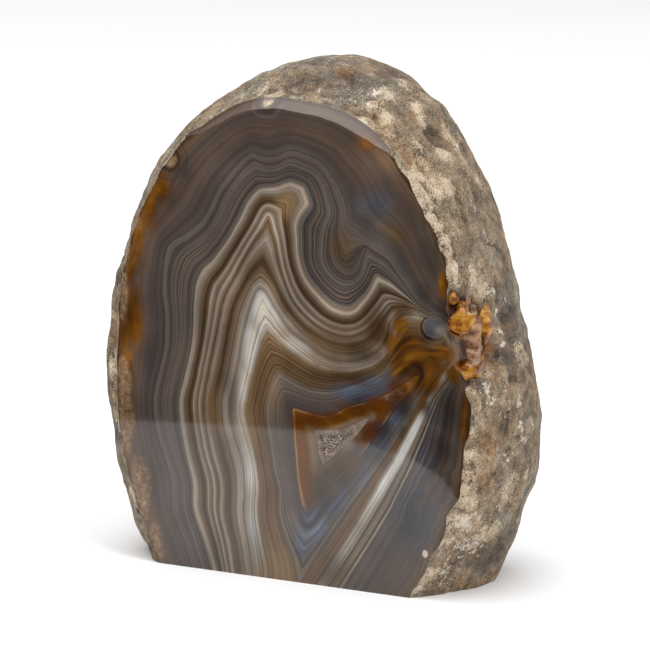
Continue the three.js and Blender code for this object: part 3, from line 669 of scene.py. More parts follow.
# Tints of the rind: x, y, z, how far each spreads, its strength.
RIND_TINTS = {
    "cream": [
        (-20, 48, 60, 9, 0.7), (14, 52, 84, 8, 0.6), (30, 50, 40, 9, 0.6), (-34, 34, 30, 8, 0.6),
        (-44, 24, 78, 7, 0.6), (-10, 44, 104, 7, 0.5), (20.5, 3, 114, 3, 1),
        (19, 9, 117, 2.4, 0.9), (20.5, 14, 119.5, 2.6, 0.9), (21.5, 21, 121.5, 2.4, 0.6),
        (23.2, 8.6, 114.6, 2.3, 0.9), (26.2, 17.6, 116.2, 2, 0.9), (29, 16.4, 113.1, 2.2, 0.9),
        (31.2, 9, 108.5, 2.2, 0.8), (25.4, 6, 111.6, 2.2, 0.7), (34.7, 15.2, 105.4, 3, 1),
        (31.4, 23.8, 110.5, 2.8, 0.8), (33.1, 24.1, 107.7, 2.8, 0.8), (33.4, 0.5, 101.3, 3.4, 1),
        (34.5, 5.5, 102.7, 3.4, 1), (37.6, 7.3, 99.5, 3.8, 1), (39.3, 10.7, 98.5, 3, 0.9),
        (35.3, 1, 99.1, 3, 1), (30, 0.4, 105.3, 2, 0.9), (36.2, 0.5, 96, 2.2, 1),
        (39.6, 0.5, 92.7, 2, 1), (41.2, 1.6, 91.2, 2.4, 1), (43.1, 1.7, 87.5, 2, 0.9),
        (44.5, 1.6, 84, 2, 0.9), (38.4, 3.3, 96.5, 3, 0.6), (45.6, 1.1, 80.6, 2.2, 1),
        (46.4, 2.6, 78.1, 2.4, 1), (47.6, 8.5, 78.5, 3.4, 0.8), (48.7, 10.5, 74.7, 3.4, 0.8),
        (38.2, 28, 98.3, 3, 0.8), (53.2, 20.8, 59, 2.4, 0.7), (52.4, 26.6, 56.8, 2.4, 0.7),
        (50.4, 0.5, 53.6, 1.6, 0.9), (50.8, 0.5, 47.6, 1.5, 0.8), (50.9, 0.7, 42.7, 1.5, 0.8),
        (50.4, 0.7, 36.6, 1.7, 0.9), (49.8, 0.8, 31.6, 2, 0.9), (48.8, 0.7, 27.9, 2.4, 1),
        (50, 2.7, 25.2, 3, 1), (47.8, 0.7, 25.4, 2.4, 1), (48.7, 4.2, 19.9, 4.4, 1),
        (48.9, 9.9, 15.6, 3.2, 1), (50.4, 13.5, 16.2, 3.2, 0.9), (47.2, 9.8, 13.4, 2.2, 0.8),
        (46.3, 5.6, 14.8, 2.6, 0.9), (53.6, 16.5, 26.6, 4, 0.6), (53.5, 24.6, 26.3, 4, 0.6),
        (52.8, 15.4, 23.1, 4, 0.8), (44.1, 0.3, 20.2, 2.4, 1), (44.8, 1.3, 17.6, 2.4, 1),
        (43.4, 0.5, 15.1, 2.4, 1), (35.2, 0.3, 2.4, 2.6, 0.9), (38, 0.3, 4.7, 2.6, 0.9),
        (39.9, 1.4, 5.9, 2.6, 0.9), (40.6, 7.8, 0.9, 3.4, 0.6), (-49.1, 1, 60.4, 3, 0.9),
        (-48.5, 1, 50, 4, 0.8), (-49, 1, 35, 4, 0.8), (-45, 2, 16, 4, 0.9), (-33, 2, 102, 4, 1),
        (-29, 3, 106, 4, 0.9), (-25, 5, 110, 4, 0.6), (-5.2, 3, 120, 3, 1), (1, 3, 120, 3, 0.5),
        (-11, 8, 119.5, 4, 0.75), (-17, 9, 116.5, 4, 0.6),
    ],
    "chalk": [
        (18.2, 12.6, 120.1, 1.9, 1), (18.4, 8.9, 117.6, 1.2, 1), (6.3, 6.8, 120.5, 1.2, 0.8),
        (14.6, 7.8, 118.5, 1.2, 0.9), (49.3, 14.9, 74.1, 1.3, 1), (50.4, 14.5, 69.4, 1.3, 1),
        (51.4, 14.8, 64.6, 1.5, 1), (52.2, 14.3, 61.1, 1.5, 1), (52.5, 6.1, 52.1, 2.2, 1),
        (52.8, 7.1, 49, 1.8, 0.9), (54.6, 18.4, 47.3, 2.3, 0.8), (54.9, 18.8, 41.1, 2.6, 0.8),
        (54.9, 21.1, 37, 2.6, 0.8), (54.6, 24.9, 41.2, 2.4, 0.7), (52, 3.7, 44.7, 2.5, 0.6),
        (50.8, 14.6, 67, 4.5, 0.6), (52.6, 8, 50, 5, 0.55), (53, 12, 57, 6, 0.4),
        (14, 10, 121, 6, 0.45), (47, 9, 12, 7, 0.7), (42, 5, 6, 5, 0.7), (38, 20, 104, 6, 0.4),
        (50, 14, 20, 8, 0.35), (53, 15, 30, 8, 0.35), (20.4, 2.4, 114.1, 1.3, 1),
        (36.6, 10.2, 99.1, 1.6, 0.9), (-5.2, 1.5, 119.5, 1.5, 1), (-32.6, 1.5, 101.8, 2.4, 0.9),
        (-48.6, 1, 60, 2.4, 0.6), (45.6, 1.2, 80.6, 1.4, 0.8), (48.6, 3, 20, 3.4, 0.9),
        (36.5, 1, 3.4, 2.6, 0.8), (45, 2, 15, 2.6, 0.75), (-13, 9, 119.5, 4, 0.5),
        (54.2, 13, 33, 4, 0.6), (54, 12, 46, 3, 0.6), (51, 20, 71, 3, 0.55),
    ],
    # Dark patches: darker grey-brown rind, and painted shadow in the narrow gap along the face's
    # edge where the crust stands over it.
    "shade": [
        (-4, 54, 40, 12, 0.6), (26, 48, 70, 10, 0.5), (-40, 38, 56, 10, 0.6), (2, 40, 16, 9, 0.5),
        (53, 17, 66, 6, 0.5), (52.5, 14, 80, 6, 0.4), (41.6, 0.5, 90, 1.5, 0.8),
        (44.6, 0.5, 84, 1.4, 0.8), (46, 0.6, 76.5, 1.6, 0.9), (50.8, 0.4, 46, 1.2, 0.9),
        (50.6, 0.4, 38, 1.2, 0.9), (49, 0.4, 29, 1.2, 0.8), (13.5, 13.6, 122.7, 5, 0.9),
        (16.3, 21, 124.1, 5, 0.8), (7.1, 10.3, 122.6, 5, 0.7), (0.3, 7.5, 121.3, 4, 0.4),
        (30.8, 17.2, 111.2, 3, 1), (32.7, 18.2, 108.9, 3, 1), (44, 24, 92, 8, 0.35),
        (54, 22, 40, 8, 0.6), (54, 24, 30, 8, 0.55), (50, 17, 74, 6, 0.5), (27, 12, 116, 4, 0.8),
        (43, 30.6, 86.1, 7, 0.5), (47.3, 25, 77.4, 7, 0.7), (51.5, 22.5, 65.9, 6, 0.9),
        (51, 28, 60, 6, 0.7), (43, 5.9, 7.8, 3.4, 0.8), (44.6, 8, 9.6, 3.4, 0.8),
        (46.5, 14.7, 7.6, 5, 0.9), (48.2, 19.3, 8.1, 5, 0.9), (40.9, 4.7, 4.1, 2.6, 0.6),
        (52.2, 23.6, 18.9, 3.6, 0.9), (50.8, 22.1, 14, 4, 0.9), (48.9, 20.6, 9.1, 4, 0.8),
        (53.5, 22, 52, 6, 0.6), (-50, 5, 70, 7, 0.8), (-53, 8, 30, 9, 0.6),
        (52.4, 15.2, 59, 5, 0.75), (54.2, 12, 42, 6, 0.55), (18.2, 15.5, 121.8, 2.4, 0.7),
    ],
    "rust": [
        (21.1, 6, 114.7, 2, 0.9), (19.7, 9.9, 116.1, 1.8, 0.8), (9, 14, 124.3, 2.6, 0.9),
        (13.3, 18.9, 124.1, 2.6, 0.9), (46.4, 18.9, 84.7, 1.1, 1), (54.1, 14, 50.7, 1.2, 1),
        (50.7, 33.3, 53.8, 4, 0.8), (53.5, 28.4, 47.9, 3, 0.5), (53.3, 6.5, 37, 5, 0.6),
        (52.4, 5.6, 29.8, 4, 0.6), (48.8, 0.7, 27.9, 1.8, 0.7), (34.3, 9.2, 104.9, 1, 1),
        (31.9, 4.2, 105, 1, 1), (47.8, 1.4, 24.5, 2.2, 0.7), (49.2, 5, 21, 2.4, 0.6),
        (45, 1, 17, 2, 0.5), (37.5, 0.6, 4, 2, 0.5), (-49, 3, 58, 6, 0.9), (-50, 4, 40, 6, 0.7),
        (-47, 3, 25, 5, 0.6), (-44, 3, 86, 5, 0.8),
    ],
    # The hollow behind the outbreak's lumps: its own amber, darkened with painted shade.
    "hollow": [
        (49.5, 7.5, 67, 6.0, 1), (47, 5, 70.5, 4.5, 1), (50.5, 7.5, 61, 4.2, 1),
        (45.6, 1.5, 73.5, 2.6, 1), (45.5, 0.3, 70, 3.6, 1), (45.6, 0.3, 66.5, 3, 1),
        (48.6, 0.3, 62.6, 3, 1), (47.6, 0.3, 58, 3, 1), (48.8, 0.3, 54.5, 2.2, 1),
        (48, 4, 56.5, 3.4, 1), (46, 3, 66, 4, 1), (50, 10.5, 69, 3.0, 1),
    ],
}


def tint_of(points, spots):
    strength = np.zeros(len(points))
    for *place, most in spots:
        middle = np.array(place[:points.shape[1]], float)
        spread = np.array(place[points.shape[1]:], float)
        away = ((points - middle) / spread) ** 2
        strength = np.maximum(strength, most * np.exp(-away.sum(1)))
    return strength


# A broken lump of chalcedony: a ball cut by flat breaks, a little rounded where they meet.
LUMP_BREAKS = 12
LUMP_SHARPNESS = 40.0


def lump_shell(at, reach, seed):
    bm = bmesh.new()
    bmesh.ops.create_icosphere(bm, subdivisions=4, radius=1)
    mesh = bpy.data.meshes.new("lump")
    bm.to_mesh(mesh)
    bm.free()
    way = np.empty(len(mesh.vertices) * 3)
    mesh.vertices.foreach_get("co", way)
    way = way.reshape(-1, 3)
    way /= np.linalg.norm(way, axis=1)[:, None]
    random = np.random.default_rng(seed)
    breaks = random.normal(size=(LUMP_BREAKS, 3))
    breaks /= np.linalg.norm(breaks, axis=1)[:, None]
    depth = random.uniform(0.6, 0.95, LUMP_BREAKS)
    facing = np.maximum(way @ breaks.T, 1e-3)
    cut = np.exp(-LUMP_SHARPNESS * depth / facing).sum(1) + np.exp(-LUMP_SHARPNESS)
    size = -np.log(cut) / LUMP_SHARPNESS
    points = np.array(at) + way * (size * 1.05)[:, None] * np.array(reach)
    points[:, 1] = np.maximum(points[:, 1], 0.02)
    triangles = [tuple(polygon.vertices) for polygon in mesh.polygons]
    bpy.data.meshes.remove(mesh)
    return points, triangles


# Lumps that fill the outbreak: middle, reach each way, how pink rather than amber.
CHALCEDONY_LUMPS = [
    dict(at=(47.4, 2.4, 68.4), reach=(3.9, 3.0, 3.9), pink=0.0, seed=3),
    dict(at=(49.9, 3.2, 63.8), reach=(3.2, 3.8, 6.4), pink=0.9, seed=8),
    dict(at=(48.4, 3.0, 62.6), reach=(2.2, 2.6, 4.2), pink=0.6, seed=31),
    dict(at=(48.3, 2.8, 56.6), reach=(3.4, 3.2, 3.4), pink=0.0, seed=5),
    dict(at=(49.3, 2.2, 70.0), reach=(0.8, 1.8, 4.6), pink=0.8, seed=12),
    dict(at=(50.2, 2.8, 68.6), reach=(0.8, 2.0, 4.0), pink=1.0, seed=17),
    dict(at=(50.8, 4.6, 58.4), reach=(1.9, 2.8, 3.8), pink=0.1, seed=21),
    dict(at=(51.0, 7.5, 67.2), reach=(1.8, 2.6, 4.6), pink=0.0, seed=24),
    dict(at=(45.2, 2.4, 73.8), reach=(1.4, 1.8, 1.6), pink=0.0, seed=27),
    dict(at=(47.2, 4.6, 66.8), reach=(2.8, 3.2, 6.6), pink=0.1, seed=40),
    dict(at=(48.2, 5.2, 60.4), reach=(2.8, 3.4, 5.2), pink=0.3, seed=41),
]


def add_lumps(mesh):
    points = [np.array([v.co[:] for v in mesh.vertices])]
    faces = [tuple(polygon.vertices) for polygon in mesh.polygons]
    finishes = [polygon.material_index for polygon in mesh.polygons]
    relief = [np.array([value.value for value in mesh.attributes["relief"].data])]
    pink = [np.zeros(len(mesh.vertices))]
    first = len(mesh.vertices)
    for lump in CHALCEDONY_LUMPS:
        shell, triangles = lump_shell(lump["at"], lump["reach"], lump["seed"])
        points.append(shell)
        faces += [tuple(first + v for v in triangle) for triangle in triangles]
        finishes += [LUMP] * len(triangles)
        relief.append(np.zeros(len(shell)))
        pink.append(np.full(len(shell), lump["pink"]))
        first += len(shell)
    whole = bpy.data.meshes.new("agate_nodule")
    whole.from_pydata(np.concatenate(points).tolist(), [], faces)
    whole.polygons.foreach_set("material_index", finishes)
    add_attribute(whole, "relief", np.concatenate(relief))
    add_attribute(whole, "pink", np.concatenate(pink))
    bpy.data.meshes.remove(mesh)
    return whole


def stone_piece():
    sawn = stone_mesh()
    base_outline = saw_base(sawn)
    mesh = add_lumps(sawn)
    points = np.empty(len(mesh.vertices) * 3)
    mesh.vertices.foreach_get("co", points)
    points = points.reshape(-1, 3)
    on_face = points[:, 1] < BEVEL_WIDTH + 1
    flat = points[on_face][:, [0, 2]]
    band, from_rim = np.zeros(len(points)), np.zeros(len(points))
    band[on_face], from_rim[on_face] = growth_band(flat)
    on_base = (points[:, 2] < 1e-6) & (points[:, 1] > 1.0)
    inwards = distance_to_line(points[on_base][:, :2], closed(base_outline))
    band[on_base] = inwards / SAWN_BAND_WIDTH
    add_attribute(mesh, "band", band)
    add_attribute(mesh, "from_rim", from_rim)
    streak = np.zeros(len(points))
    away = distance_to_line(flat, np.array(STREAK_PATH, float))
    streak[on_face] = np.exp(-(away / STREAK_WIDTH) ** 2) * np.interp(
        flat[:, 1], *np.array(STREAK_STRENGTH).T)
    add_attribute(mesh, "streak", streak)
    for name, spots in FACE_TINTS.items():
        strength = np.zeros(len(points))
        strength[on_face] = tint_of(flat, spots)
        add_attribute(mesh, name, strength)
    for name, spots in RIND_TINTS.items():
        add_attribute(mesh, name, tint_of(points, spots))
    mesh.vertices.foreach_set("co", ((points - FOOTPRINT_MIDDLE) * MM).ravel())
    finishes = np.empty(len(mesh.polygons), np.int32)
    mesh.polygons.foreach_get("material_index", finishes)
    mesh.polygons.foreach_set("use_smooth", finishes == RIND)
    mesh.update()
    piece = bpy.data.objects.new("agate_nodule", mesh)
    bpy.context.scene.collection.objects.link(piece)
    return piece


# A colour given as screen values out of 255.
def tone(red, green, blue):
    def linear(value):
        value /= 255
        return value / 12.92 if value <= 0.04045 else ((value + 0.055) / 1.055) ** 2.4
    return (linear(red), linear(green), linear(blue), 1)


# A material's nodes, made by short calls that give back an output socket.
class Recipe:
    def __init__(self, name):
        self.material = bpy.data.materials.new(name)
        self.material.use_nodes = True
        self.nodes = self.material.node_tree.nodes
        self.links = self.material.node_tree.links
        self.shader = self.nodes["Principled BSDF"]
        self.place = self.nodes.new("ShaderNodeTexCoord").outputs["Object"]

    def feed(self, socket, value):
        if isinstance(value, bpy.types.NodeSocket):
            self.links.new(value, socket)
        else:
            socket.default_value = value

    def attribute(self, name):
        node = self.nodes.new("ShaderNodeAttribute")
        node.attribute_name = name
        return node.outputs["Fac"]

    def math(self, operation, a, b=0.0, c=0.0):
        node = self.nodes.new("ShaderNodeMath")
        node.operation = operation
        for socket, value in zip(node.inputs, (a, b, c)):
            self.feed(socket, value)
        return node.outputs[0]

    def plus(self, a, b):
        return self.math("ADD", a, b)

    def minus(self, a, b):
        return self.math("SUBTRACT", a, b)

    def times(self, a, b):
        return self.math("MULTIPLY", a, b)

    def times_plus(self, a, b, c):
        return self.math("MULTIPLY_ADD", a, b, c)

    def opposite(self, value):
        return self.math("SUBTRACT", 1.0, value)

    def fade(self, value, near, far):
        return self.opposite(self.fit(value, near, far))

    def spread(self, noise, low, high):
        return self.fit(noise, 0.3, 0.7, low, high, smooth=False)

    def fit(self, value, low, high, to_low=0.0, to_high=1.0, smooth=True):
        node = self.nodes.new("ShaderNodeMapRange")
        node.interpolation_type = "SMOOTHSTEP" if smooth else "LINEAR"
        for name, given in (("Value", value), ("From Min", low), ("From Max", high),
                            ("To Min", to_low), ("To Max", to_high)):
            self.feed(node.inputs[name], given)
        return node.outputs["Result"]

    def mix(self, a, b, share, blend="MIX"):
        node = self.nodes.new("ShaderNodeMix")
        node.data_type = "RGBA"
        node.blend_type = blend
        self.feed(node.inputs["Factor"], share)
        self.feed(node.inputs[6], a)
        self.feed(node.inputs[7], b)
        return node.outputs[2]

    def ramp(self, value, stops):
        node = self.nodes.new("ShaderNodeValToRGB")
        ramp = node.color_ramp
        ramp.elements[0].position, ramp.elements[0].color = stops[0]
        ramp.elements[1].position, ramp.elements[1].color = stops[-1]
        for position, colour in stops[1:-1]:
            ramp.elements.new(position).color = colour
        self.feed(node.inputs["Fac"], value)
        return node.outputs["Color"]

    def noise(self, scale, detail=2.0, roughness=0.5, vector=None, w=None, kind="3D", twist=0.0):
        node = self.nodes.new("ShaderNodeTexNoise")
        node.noise_dimensions = kind
        if kind != "1D":
            self.feed(node.inputs["Vector"], self.place if vector is None else vector)
        if w is not None:
            self.feed(node.inputs["W"], w)
        for name, given in (("Scale", scale), ("Detail", detail), ("Roughness", roughness),
                            ("Distortion", twist)):
            self.feed(node.inputs[name], given)
        return node.outputs["Fac"]

    def cells(self, scale):
        node = self.nodes.new("ShaderNodeTexVoronoi")
        self.feed(node.inputs["Vector"], self.place)
        self.feed(node.inputs["Scale"], scale)
        return node.outputs

    def stretch(self, scale):
        node = self.nodes.new("ShaderNodeMapping")
        self.feed(node.inputs["Vector"], self.place)
        node.inputs["Scale"].default_value = scale
        return node.outputs["Vector"]

    def bump(self, height, strength, distance):
        node = self.nodes.new("ShaderNodeBump")
        node.inputs["Strength"].default_value = strength
        node.inputs["Distance"].default_value = distance
        self.feed(node.inputs["Height"], height)
        return node.outputs["Normal"]

    def finish(self, **sockets):
        for name, value in sockets.items():
            self.feed(self.shader.inputs[name.replace("_", " ")], value)
        return self.material


# The tones of the growth bands.
BARK = tone(102, 80, 58)
COCOA = tone(86, 73, 66)
SMOKE = tone(72, 64, 61)
ASH = tone(91, 82, 75)
STONE = tone(130, 119, 107)
FAWN = tone(108, 94, 80)
TAN = tone(93, 77, 60)
SEPIA = tone(82, 64, 45)
UMBER = tone(65, 50, 35)
MILK = tone(148, 136, 122)
HONEY = tone(122, 99, 70)
OCHRE = tone(100, 77, 54)
SLATE = tone(66, 62, 62)
PALE_AMBER = tone(160, 118, 76)
AMBER = tone(106, 64, 14)
GRIT = tone(113, 94, 80)

# Where each tone lies, in growth lines from the rim inwards.
BANDS = [
    [(0.00, BARK), (0.30, COCOA), (0.60, COCOA), (0.90, SMOKE), (1.00, SMOKE), (1.03, ASH),
     (1.20, ASH), (1.45, COCOA), (1.75, SMOKE), (1.95, COCOA), (2.05, ASH), (2.30, ASH),
     (2.50, COCOA), (2.70, SMOKE), (2.85, ASH), (2.95, FAWN), (3.00, STONE)],
    [(3.00, STONE), (3.07, MILK), (3.13, STONE), (3.20, FAWN), (3.27, TAN), (3.33, SEPIA),
     (3.40, UMBER), (3.48, UMBER), (3.54, TAN), (3.60, STONE), (3.67, FAWN), (3.75, TAN),
     (3.79, TAN), (3.84, STONE), (3.88, MILK), (3.94, FAWN), (4.00, TAN)],
    [(4.00, TAN), (4.04, SEPIA), (4.08, FAWN), (4.13, STONE), (4.18, FAWN), (4.24, TAN),
     (4.30, SEPIA), (4.37, UMBER), (4.43, SEPIA), (4.50, FAWN), (4.56, TAN), (4.63, STONE),
     (4.69, MILK), (4.76, STONE), (4.82, FAWN), (4.88, STONE), (5.00, MILK)],
    [(5.00, MILK), (5.20, MILK), (5.30, HONEY), (5.48, OCHRE), (5.80, OCHRE), (5.92, TAN),
     (6.00, FAWN), (6.10, ASH), (6.50, COCOA), (6.90, SLATE), (6.97, SEPIA), (7.03, PALE_AMBER),
     (7.12, AMBER), (7.60, AMBER), (7.85, HONEY), (8.00, FAWN), (8.15, GRIT), (9.00, GRIT)],
]
# Fine lines between one growth line and the next, and how strongly they show.
FINE_LINES = [(0, 1, 8), (1, 3, 44), (3, 5, 66), (5, 7, 40), (7, 9, 20)]


def band_colours(r, band):
    colour = None
    for bands in BANDS:
        low, high = bands[0][0], bands[-1][0]
        stops = [((at - low) / (high - low), colour_there) for at, colour_there in bands]
        part = r.ramp(r.fit(band, low, high, smooth=False), stops)
        past = r.math("GREATER_THAN", band, low)
        colour = part if colour is None else r.mix(colour, part, past)
    return colour


def fine_line_count(r, band):
    count = 0.0
    for low, high, lines in FINE_LINES:
        count = r.plus(count, r.fit(band, low, high, 0, lines, smooth=False))
    return count


# How far a point of the face lies from a place on it, in shares of that spot's reach.
def spot_distance(r, x, z, wide, high):
    middle = (np.array([x, 0, z]) - FOOTPRINT_MIDDLE) * MM
    away = r.nodes.new("ShaderNodeVectorMath")
    away.operation = "SUBTRACT"
    r.feed(away.inputs[0], r.place)
    away.inputs[1].default_value = middle
    shares = r.nodes.new("ShaderNodeVectorMath")
    shares.operation = "MULTIPLY"
    r.feed(shares.inputs[0], away.outputs[0])
    shares.inputs[1].default_value = (1 / (wide * MM), 0, 1 / (high * MM))
    length = r.nodes.new("ShaderNodeVectorMath")
    length.operation = "LENGTH"
    r.feed(length.inputs[0], shares.outputs[0])
    ragged = r.times(r.minus(r.noise(500, 3), 0.5), 0.25)
    return r.plus(length.outputs["Value"], ragged)


def ring(r, distance, at, width):
    away = r.math("ABSOLUTE", r.minus(distance, at))
    return r.opposite(r.fit(away, 0, width))


# Inclusions of the face, each with its middle and its reach, x and z.
EYE = (41.3, 66.6, 3.6, 3.0)
EYE_GLINT = (43.2, 66.2, 2.2, 1.6)
LEFT_OF_EYE = (38.6, 65.6, 4.2, 4.2)
TOP_HALO = (-5.2, 118.6, 4.6, 4.4)
TOP_PIP = (-5.2, 118.9, 1.9, 2.5)
SPECK = (39.2, 11.4, 0.9, 1.1)
KNOT = (-32.6, 102.2, 4.8, 5.0)


# The small eye at the right of the face.
def eye_at_right(r, colour):
    eye = spot_distance(r, *EYE)
    colour = r.mix(colour, tone(76, 76, 82), r.times(r.fade(eye, 0.72, 0.95), 0.9))
    glint = r.times(r.fade(spot_distance(r, *EYE_GLINT), 0.2, 1.1), 0.75)
    colour = r.mix(colour, tone(132, 120, 106), glint)
    colour = r.mix(colour, tone(112, 104, 98), r.times(ring(r, eye, 0.74, 0.1), 0.5))
    at_left = r.fade(spot_distance(r, *LEFT_OF_EYE), 0.6, 1.1)
    colour = r.mix(colour, tone(40, 30, 26), r.times(ring(r, eye, 0.95, 0.14), at_left))
    return r.mix(colour, tone(108, 92, 74), r.times(ring(r, eye, 1.2, 0.1), 0.6))


# The crusty pip with its halo at the top, the pale speck low at the right and the ringed
# knot at the upper left.
def pale_inclusions(r, colour):
    halo = spot_distance(r, *TOP_HALO)
    colour = r.mix(colour, tone(52, 42, 38), r.times(ring(r, halo, 0.72, 0.22), 0.75))
    colour = r.mix(colour, tone(112, 98, 90), r.times(ring(r, halo, 1.02, 0.1), 0.35))
    crusty = r.ramp(r.noise(900, 4, 0.7), [
        (0.35, tone(150, 120, 92)), (0.5, tone(196, 172, 148)), (0.65, tone(222, 208, 190)),
    ])
    colour = r.mix(colour, crusty, r.fade(spot_distance(r, *TOP_PIP), 0.75, 1.05))
    colour = r.mix(colour, tone(206, 190, 180), r.fade(spot_distance(r, *SPECK), 0.6, 1.0))
    knot = spot_distance(r, *KNOT)
    for at, width, share in ((0.55, 0.26, 0.8), (0.85, 0.12, 0.25), (1.05, 0.1, 0.35)):
        colour = r.mix(colour, tone(52, 36, 27), r.times(ring(r, knot, at, width), share))
    return r.mix(colour, tone(168, 142, 122), r.times(r.fade(knot, 0.16, 0.4), 0.7))


# A crust of sugary quartz grains, each with its own brightness and here and there a glint.
def sugary_grains(r):
    shine = r.nodes.new("ShaderNodeSeparateColor")
    r.feed(shine.inputs[0], r.cells(1500)["Color"])
    return r.ramp(shine.outputs[0], [
        (0.0, tone(72, 54, 42)), (0.3, tone(100, 80, 66)), (0.6, tone(120, 100, 86)),
        (0.85, tone(146, 128, 114)), (1.0, tone(214, 202, 192)),
    ])


# Where the bands ripple, low at the right of the face: middle and reach, x and z.
RIPPLED = (40, 23, 13, 20)
# How fast the fine lines change along their own way.
ALONG_LINES = 14
# How far the dark and light spots of the face change its colour.
DARKENING, LIGHTENING = 0.68, 0.9
# How much rougher the bevel is than the face, and the slants between which that comes in.
BEVEL_ROUGHER = 0.24
BEVEL_SLANT, FACE_SLANT = 0.93, 0.985


# The growth bands, a little wavy, and rippled low at the right.
def wavy_band(r):
    band = r.times_plus(r.minus(r.noise(190, 3), 0.5), 0.07, r.attribute("band"))
    rippled = r.fade(spot_distance(r, *RIPPLED), 0.5, 1.1)
    ripples = r.times(r.minus(r.noise(120, 2), 0.5), 0.8)
    return r.times_plus(ripples, rippled, band)


# Noise that changes quickly from one fine line to the next and slowly along them.
def line_noise(r, count, detail, roughness, along=ALONG_LINES):
    return r.noise(1, detail, roughness, r.stretch((along, along, along)), count, "4D")


# How light or dark the fine lines are, with slow clouds over them.
def line_light(r, band, count):
    swing = r.spread(line_noise(r, count, 2.5, 0.65), -1, 1)
    hairlines = line_noise(r, r.times(count, 2.7), 1.0, 0.5)
    swing = r.plus(swing, r.spread(hairlines, -0.45, 0.45))
    strength = r.fit(band, 0.8, 1.3, 0.24, 0.7)
    strength = r.minus(strength, r.fit(band, 2.9, 3.3, 0, 0.22))
    strength = r.minus(strength, r.fit(band, 6.0, 7.0, 0, 0.32))
    clouds = r.spread(r.noise(70, 4, 0.6), 0.74, 1.04)
    return r.times(r.times_plus(swing, strength, 1.0), clouds)


# A slow drift of the lines between warm and cool.
def line_hue(r, count):
    return r.ramp(line_noise(r, r.times(count, 0.55), 1.5, 0.6), [
        (0.34, (1.08, 0.99, 0.88, 1)), (0.5, (1.0, 1.0, 1.0, 1)), (0.66, (0.95, 1.0, 1.1, 1)),
    ])


# Lays a tint where the face has spots of that name, with a ragged edge.
def stain(r, colour, name, tint, share, soft=0.4):
    edge = r.times_plus(r.minus(r.noise(260, 4, 0.65), 0.5), 0.5, r.attribute(name))
    cover = r.times(r.fit(edge, 0.45 - soft, 0.45 + soft), share)
    return r.mix(colour, tint, cover)


def near_band(r, band, middle, near, far):
    return r.fade(r.math("ABSOLUTE", r.minus(band, middle)), near, far)


# Stains that the fine lines run through: browns, blue-grey chalcedony and milky white.
def lined_stains(r, colour, band, count):
    colour = stain(r, colour, "tea", tone(100, 77, 52), 0.75)
    colour = stain(r, colour, "honey", tone(124, 101, 70), 0.8)
    colour = stain(r, colour, "umber", tone(72, 50, 28), 0.9)
    colour = stain(r, colour, "pearl", tone(132, 107, 87), 0.95, 0.2)
    blue = r.ramp(line_noise(r, r.times(count, 0.15), 2.5, 0.5), [
        (0.32, tone(38, 37, 44)), (0.46, tone(64, 69, 82)), (0.56, tone(90, 97, 110)),
        (0.7, tone(118, 125, 133)),
    ])
    colour = stain(r, colour, "blue", blue, 0.92)
    milky = r.times(r.attribute("milky"), near_band(r, band, 5.04, 0.08, 0.32))
    colour = r.mix(colour, tone(204, 202, 197), milky)
    streak = r.fit(r.attribute("streak"), 0.15, 0.85)
    streak = r.times(streak, near_band(r, band, 4.8, 0.3, 0.8))
    colour = r.mix(colour, tone(196, 195, 190), r.times(streak, 0.92))
    colour = stain(r, colour, "olive", tone(84, 68, 48), 0.9)
    return stain(r, colour, "ember", tone(82, 42, 2), 0.9)


# What covers the fine lines: glowing amber, the inclusions, tan crust and quartz grains.
def covering_stains(r, colour, band, count, crusty):
    amber = r.ramp(line_noise(r, r.times(count, 0.2), 3.0, 0.55, 80), [
        (0.3, tone(38, 20, 4)), (0.42, tone(70, 40, 6)), (0.51, tone(98, 58, 8)),
        (0.60, tone(122, 76, 12)), (0.72, tone(154, 108, 36)),
    ])
    colour = stain(r, colour, "amber", amber, 0.97, 0.32)
    colour = pale_inclusions(r, eye_at_right(r, colour))
    crust = r.ramp(crusty, [
        (0.3, tone(84, 60, 38)), (0.5, tone(132, 103, 76)), (0.7, tone(168, 142, 114)),
    ])
    colour = stain(r, colour, "tan", crust, 0.85, 0.18)
    sugary = r.times(r.fit(r.attribute("sugary"), 0.3, 0.6), r.fit(band, 6.9, 7.3))
    return r.mix(colour, sugary_grains(r), r.times(sugary, 0.8))


# The face is polished to a shine and the bevel less so.
def polish(r):
    slant = r.nodes.new("ShaderNodeSeparateXYZ")
    facing = r.nodes.new("ShaderNodeNewGeometry").outputs["True Normal"]
    r.links.new(facing, slant.inputs[0])
    level = r.math("ABSOLUTE", slant.outputs["Y"])
    on_bevel = r.fade(level, BEVEL_SLANT, FACE_SLANT)
    return r.times_plus(on_bevel, BEVEL_ROUGHER, r.spread(r.noise(900, 2), 0.03, 0.06))


# The polished cut: nested growth bands, each made of many fine lines, with stains of amber,
# blue-grey chalcedony and milky white where they lie in the stone.
def polished_agate():
    r = Recipe("polished_agate")
    band = wavy_band(r)
    count = fine_line_count(r, band)
    colour = lined_stains(r, band_colours(r, band), band, count)
    colour = r.mix(colour, line_light(r, band, count), 1.0, "MULTIPLY")
    colour = r.mix(colour, line_hue(r, count), 1.0, "MULTIPLY")
    crusty = r.noise(700, 4, 0.7)
    colour = covering_stains(r, colour, band, count, crusty)
    # Dark spots darken the face, along its right edge as painted shadow; light spots lighten it.
    shade = r.opposite(r.times(r.attribute("dark"), DARKENING))
    shade = r.times_plus(r.attribute("light"), LIGHTENING, shade)
    colour = r.mix(colour, shade, 1.0, "MULTIPLY")
    # A dark rim along the face's edge: partly dark crust, partly painted shadow where the rind's
    # crust stands over the face.
    dark_rim_and_shadow = r.fade(r.times_plus(crusty, 1.4, r.attribute("from_rim")), 0.8, 2.2)
    colour = r.mix(colour, tone(50, 30, 16), r.times(dark_rim_and_shadow, 0.85))
    return r.finish(Base_Color=colour, Roughness=polish(r), IOR=1.54)


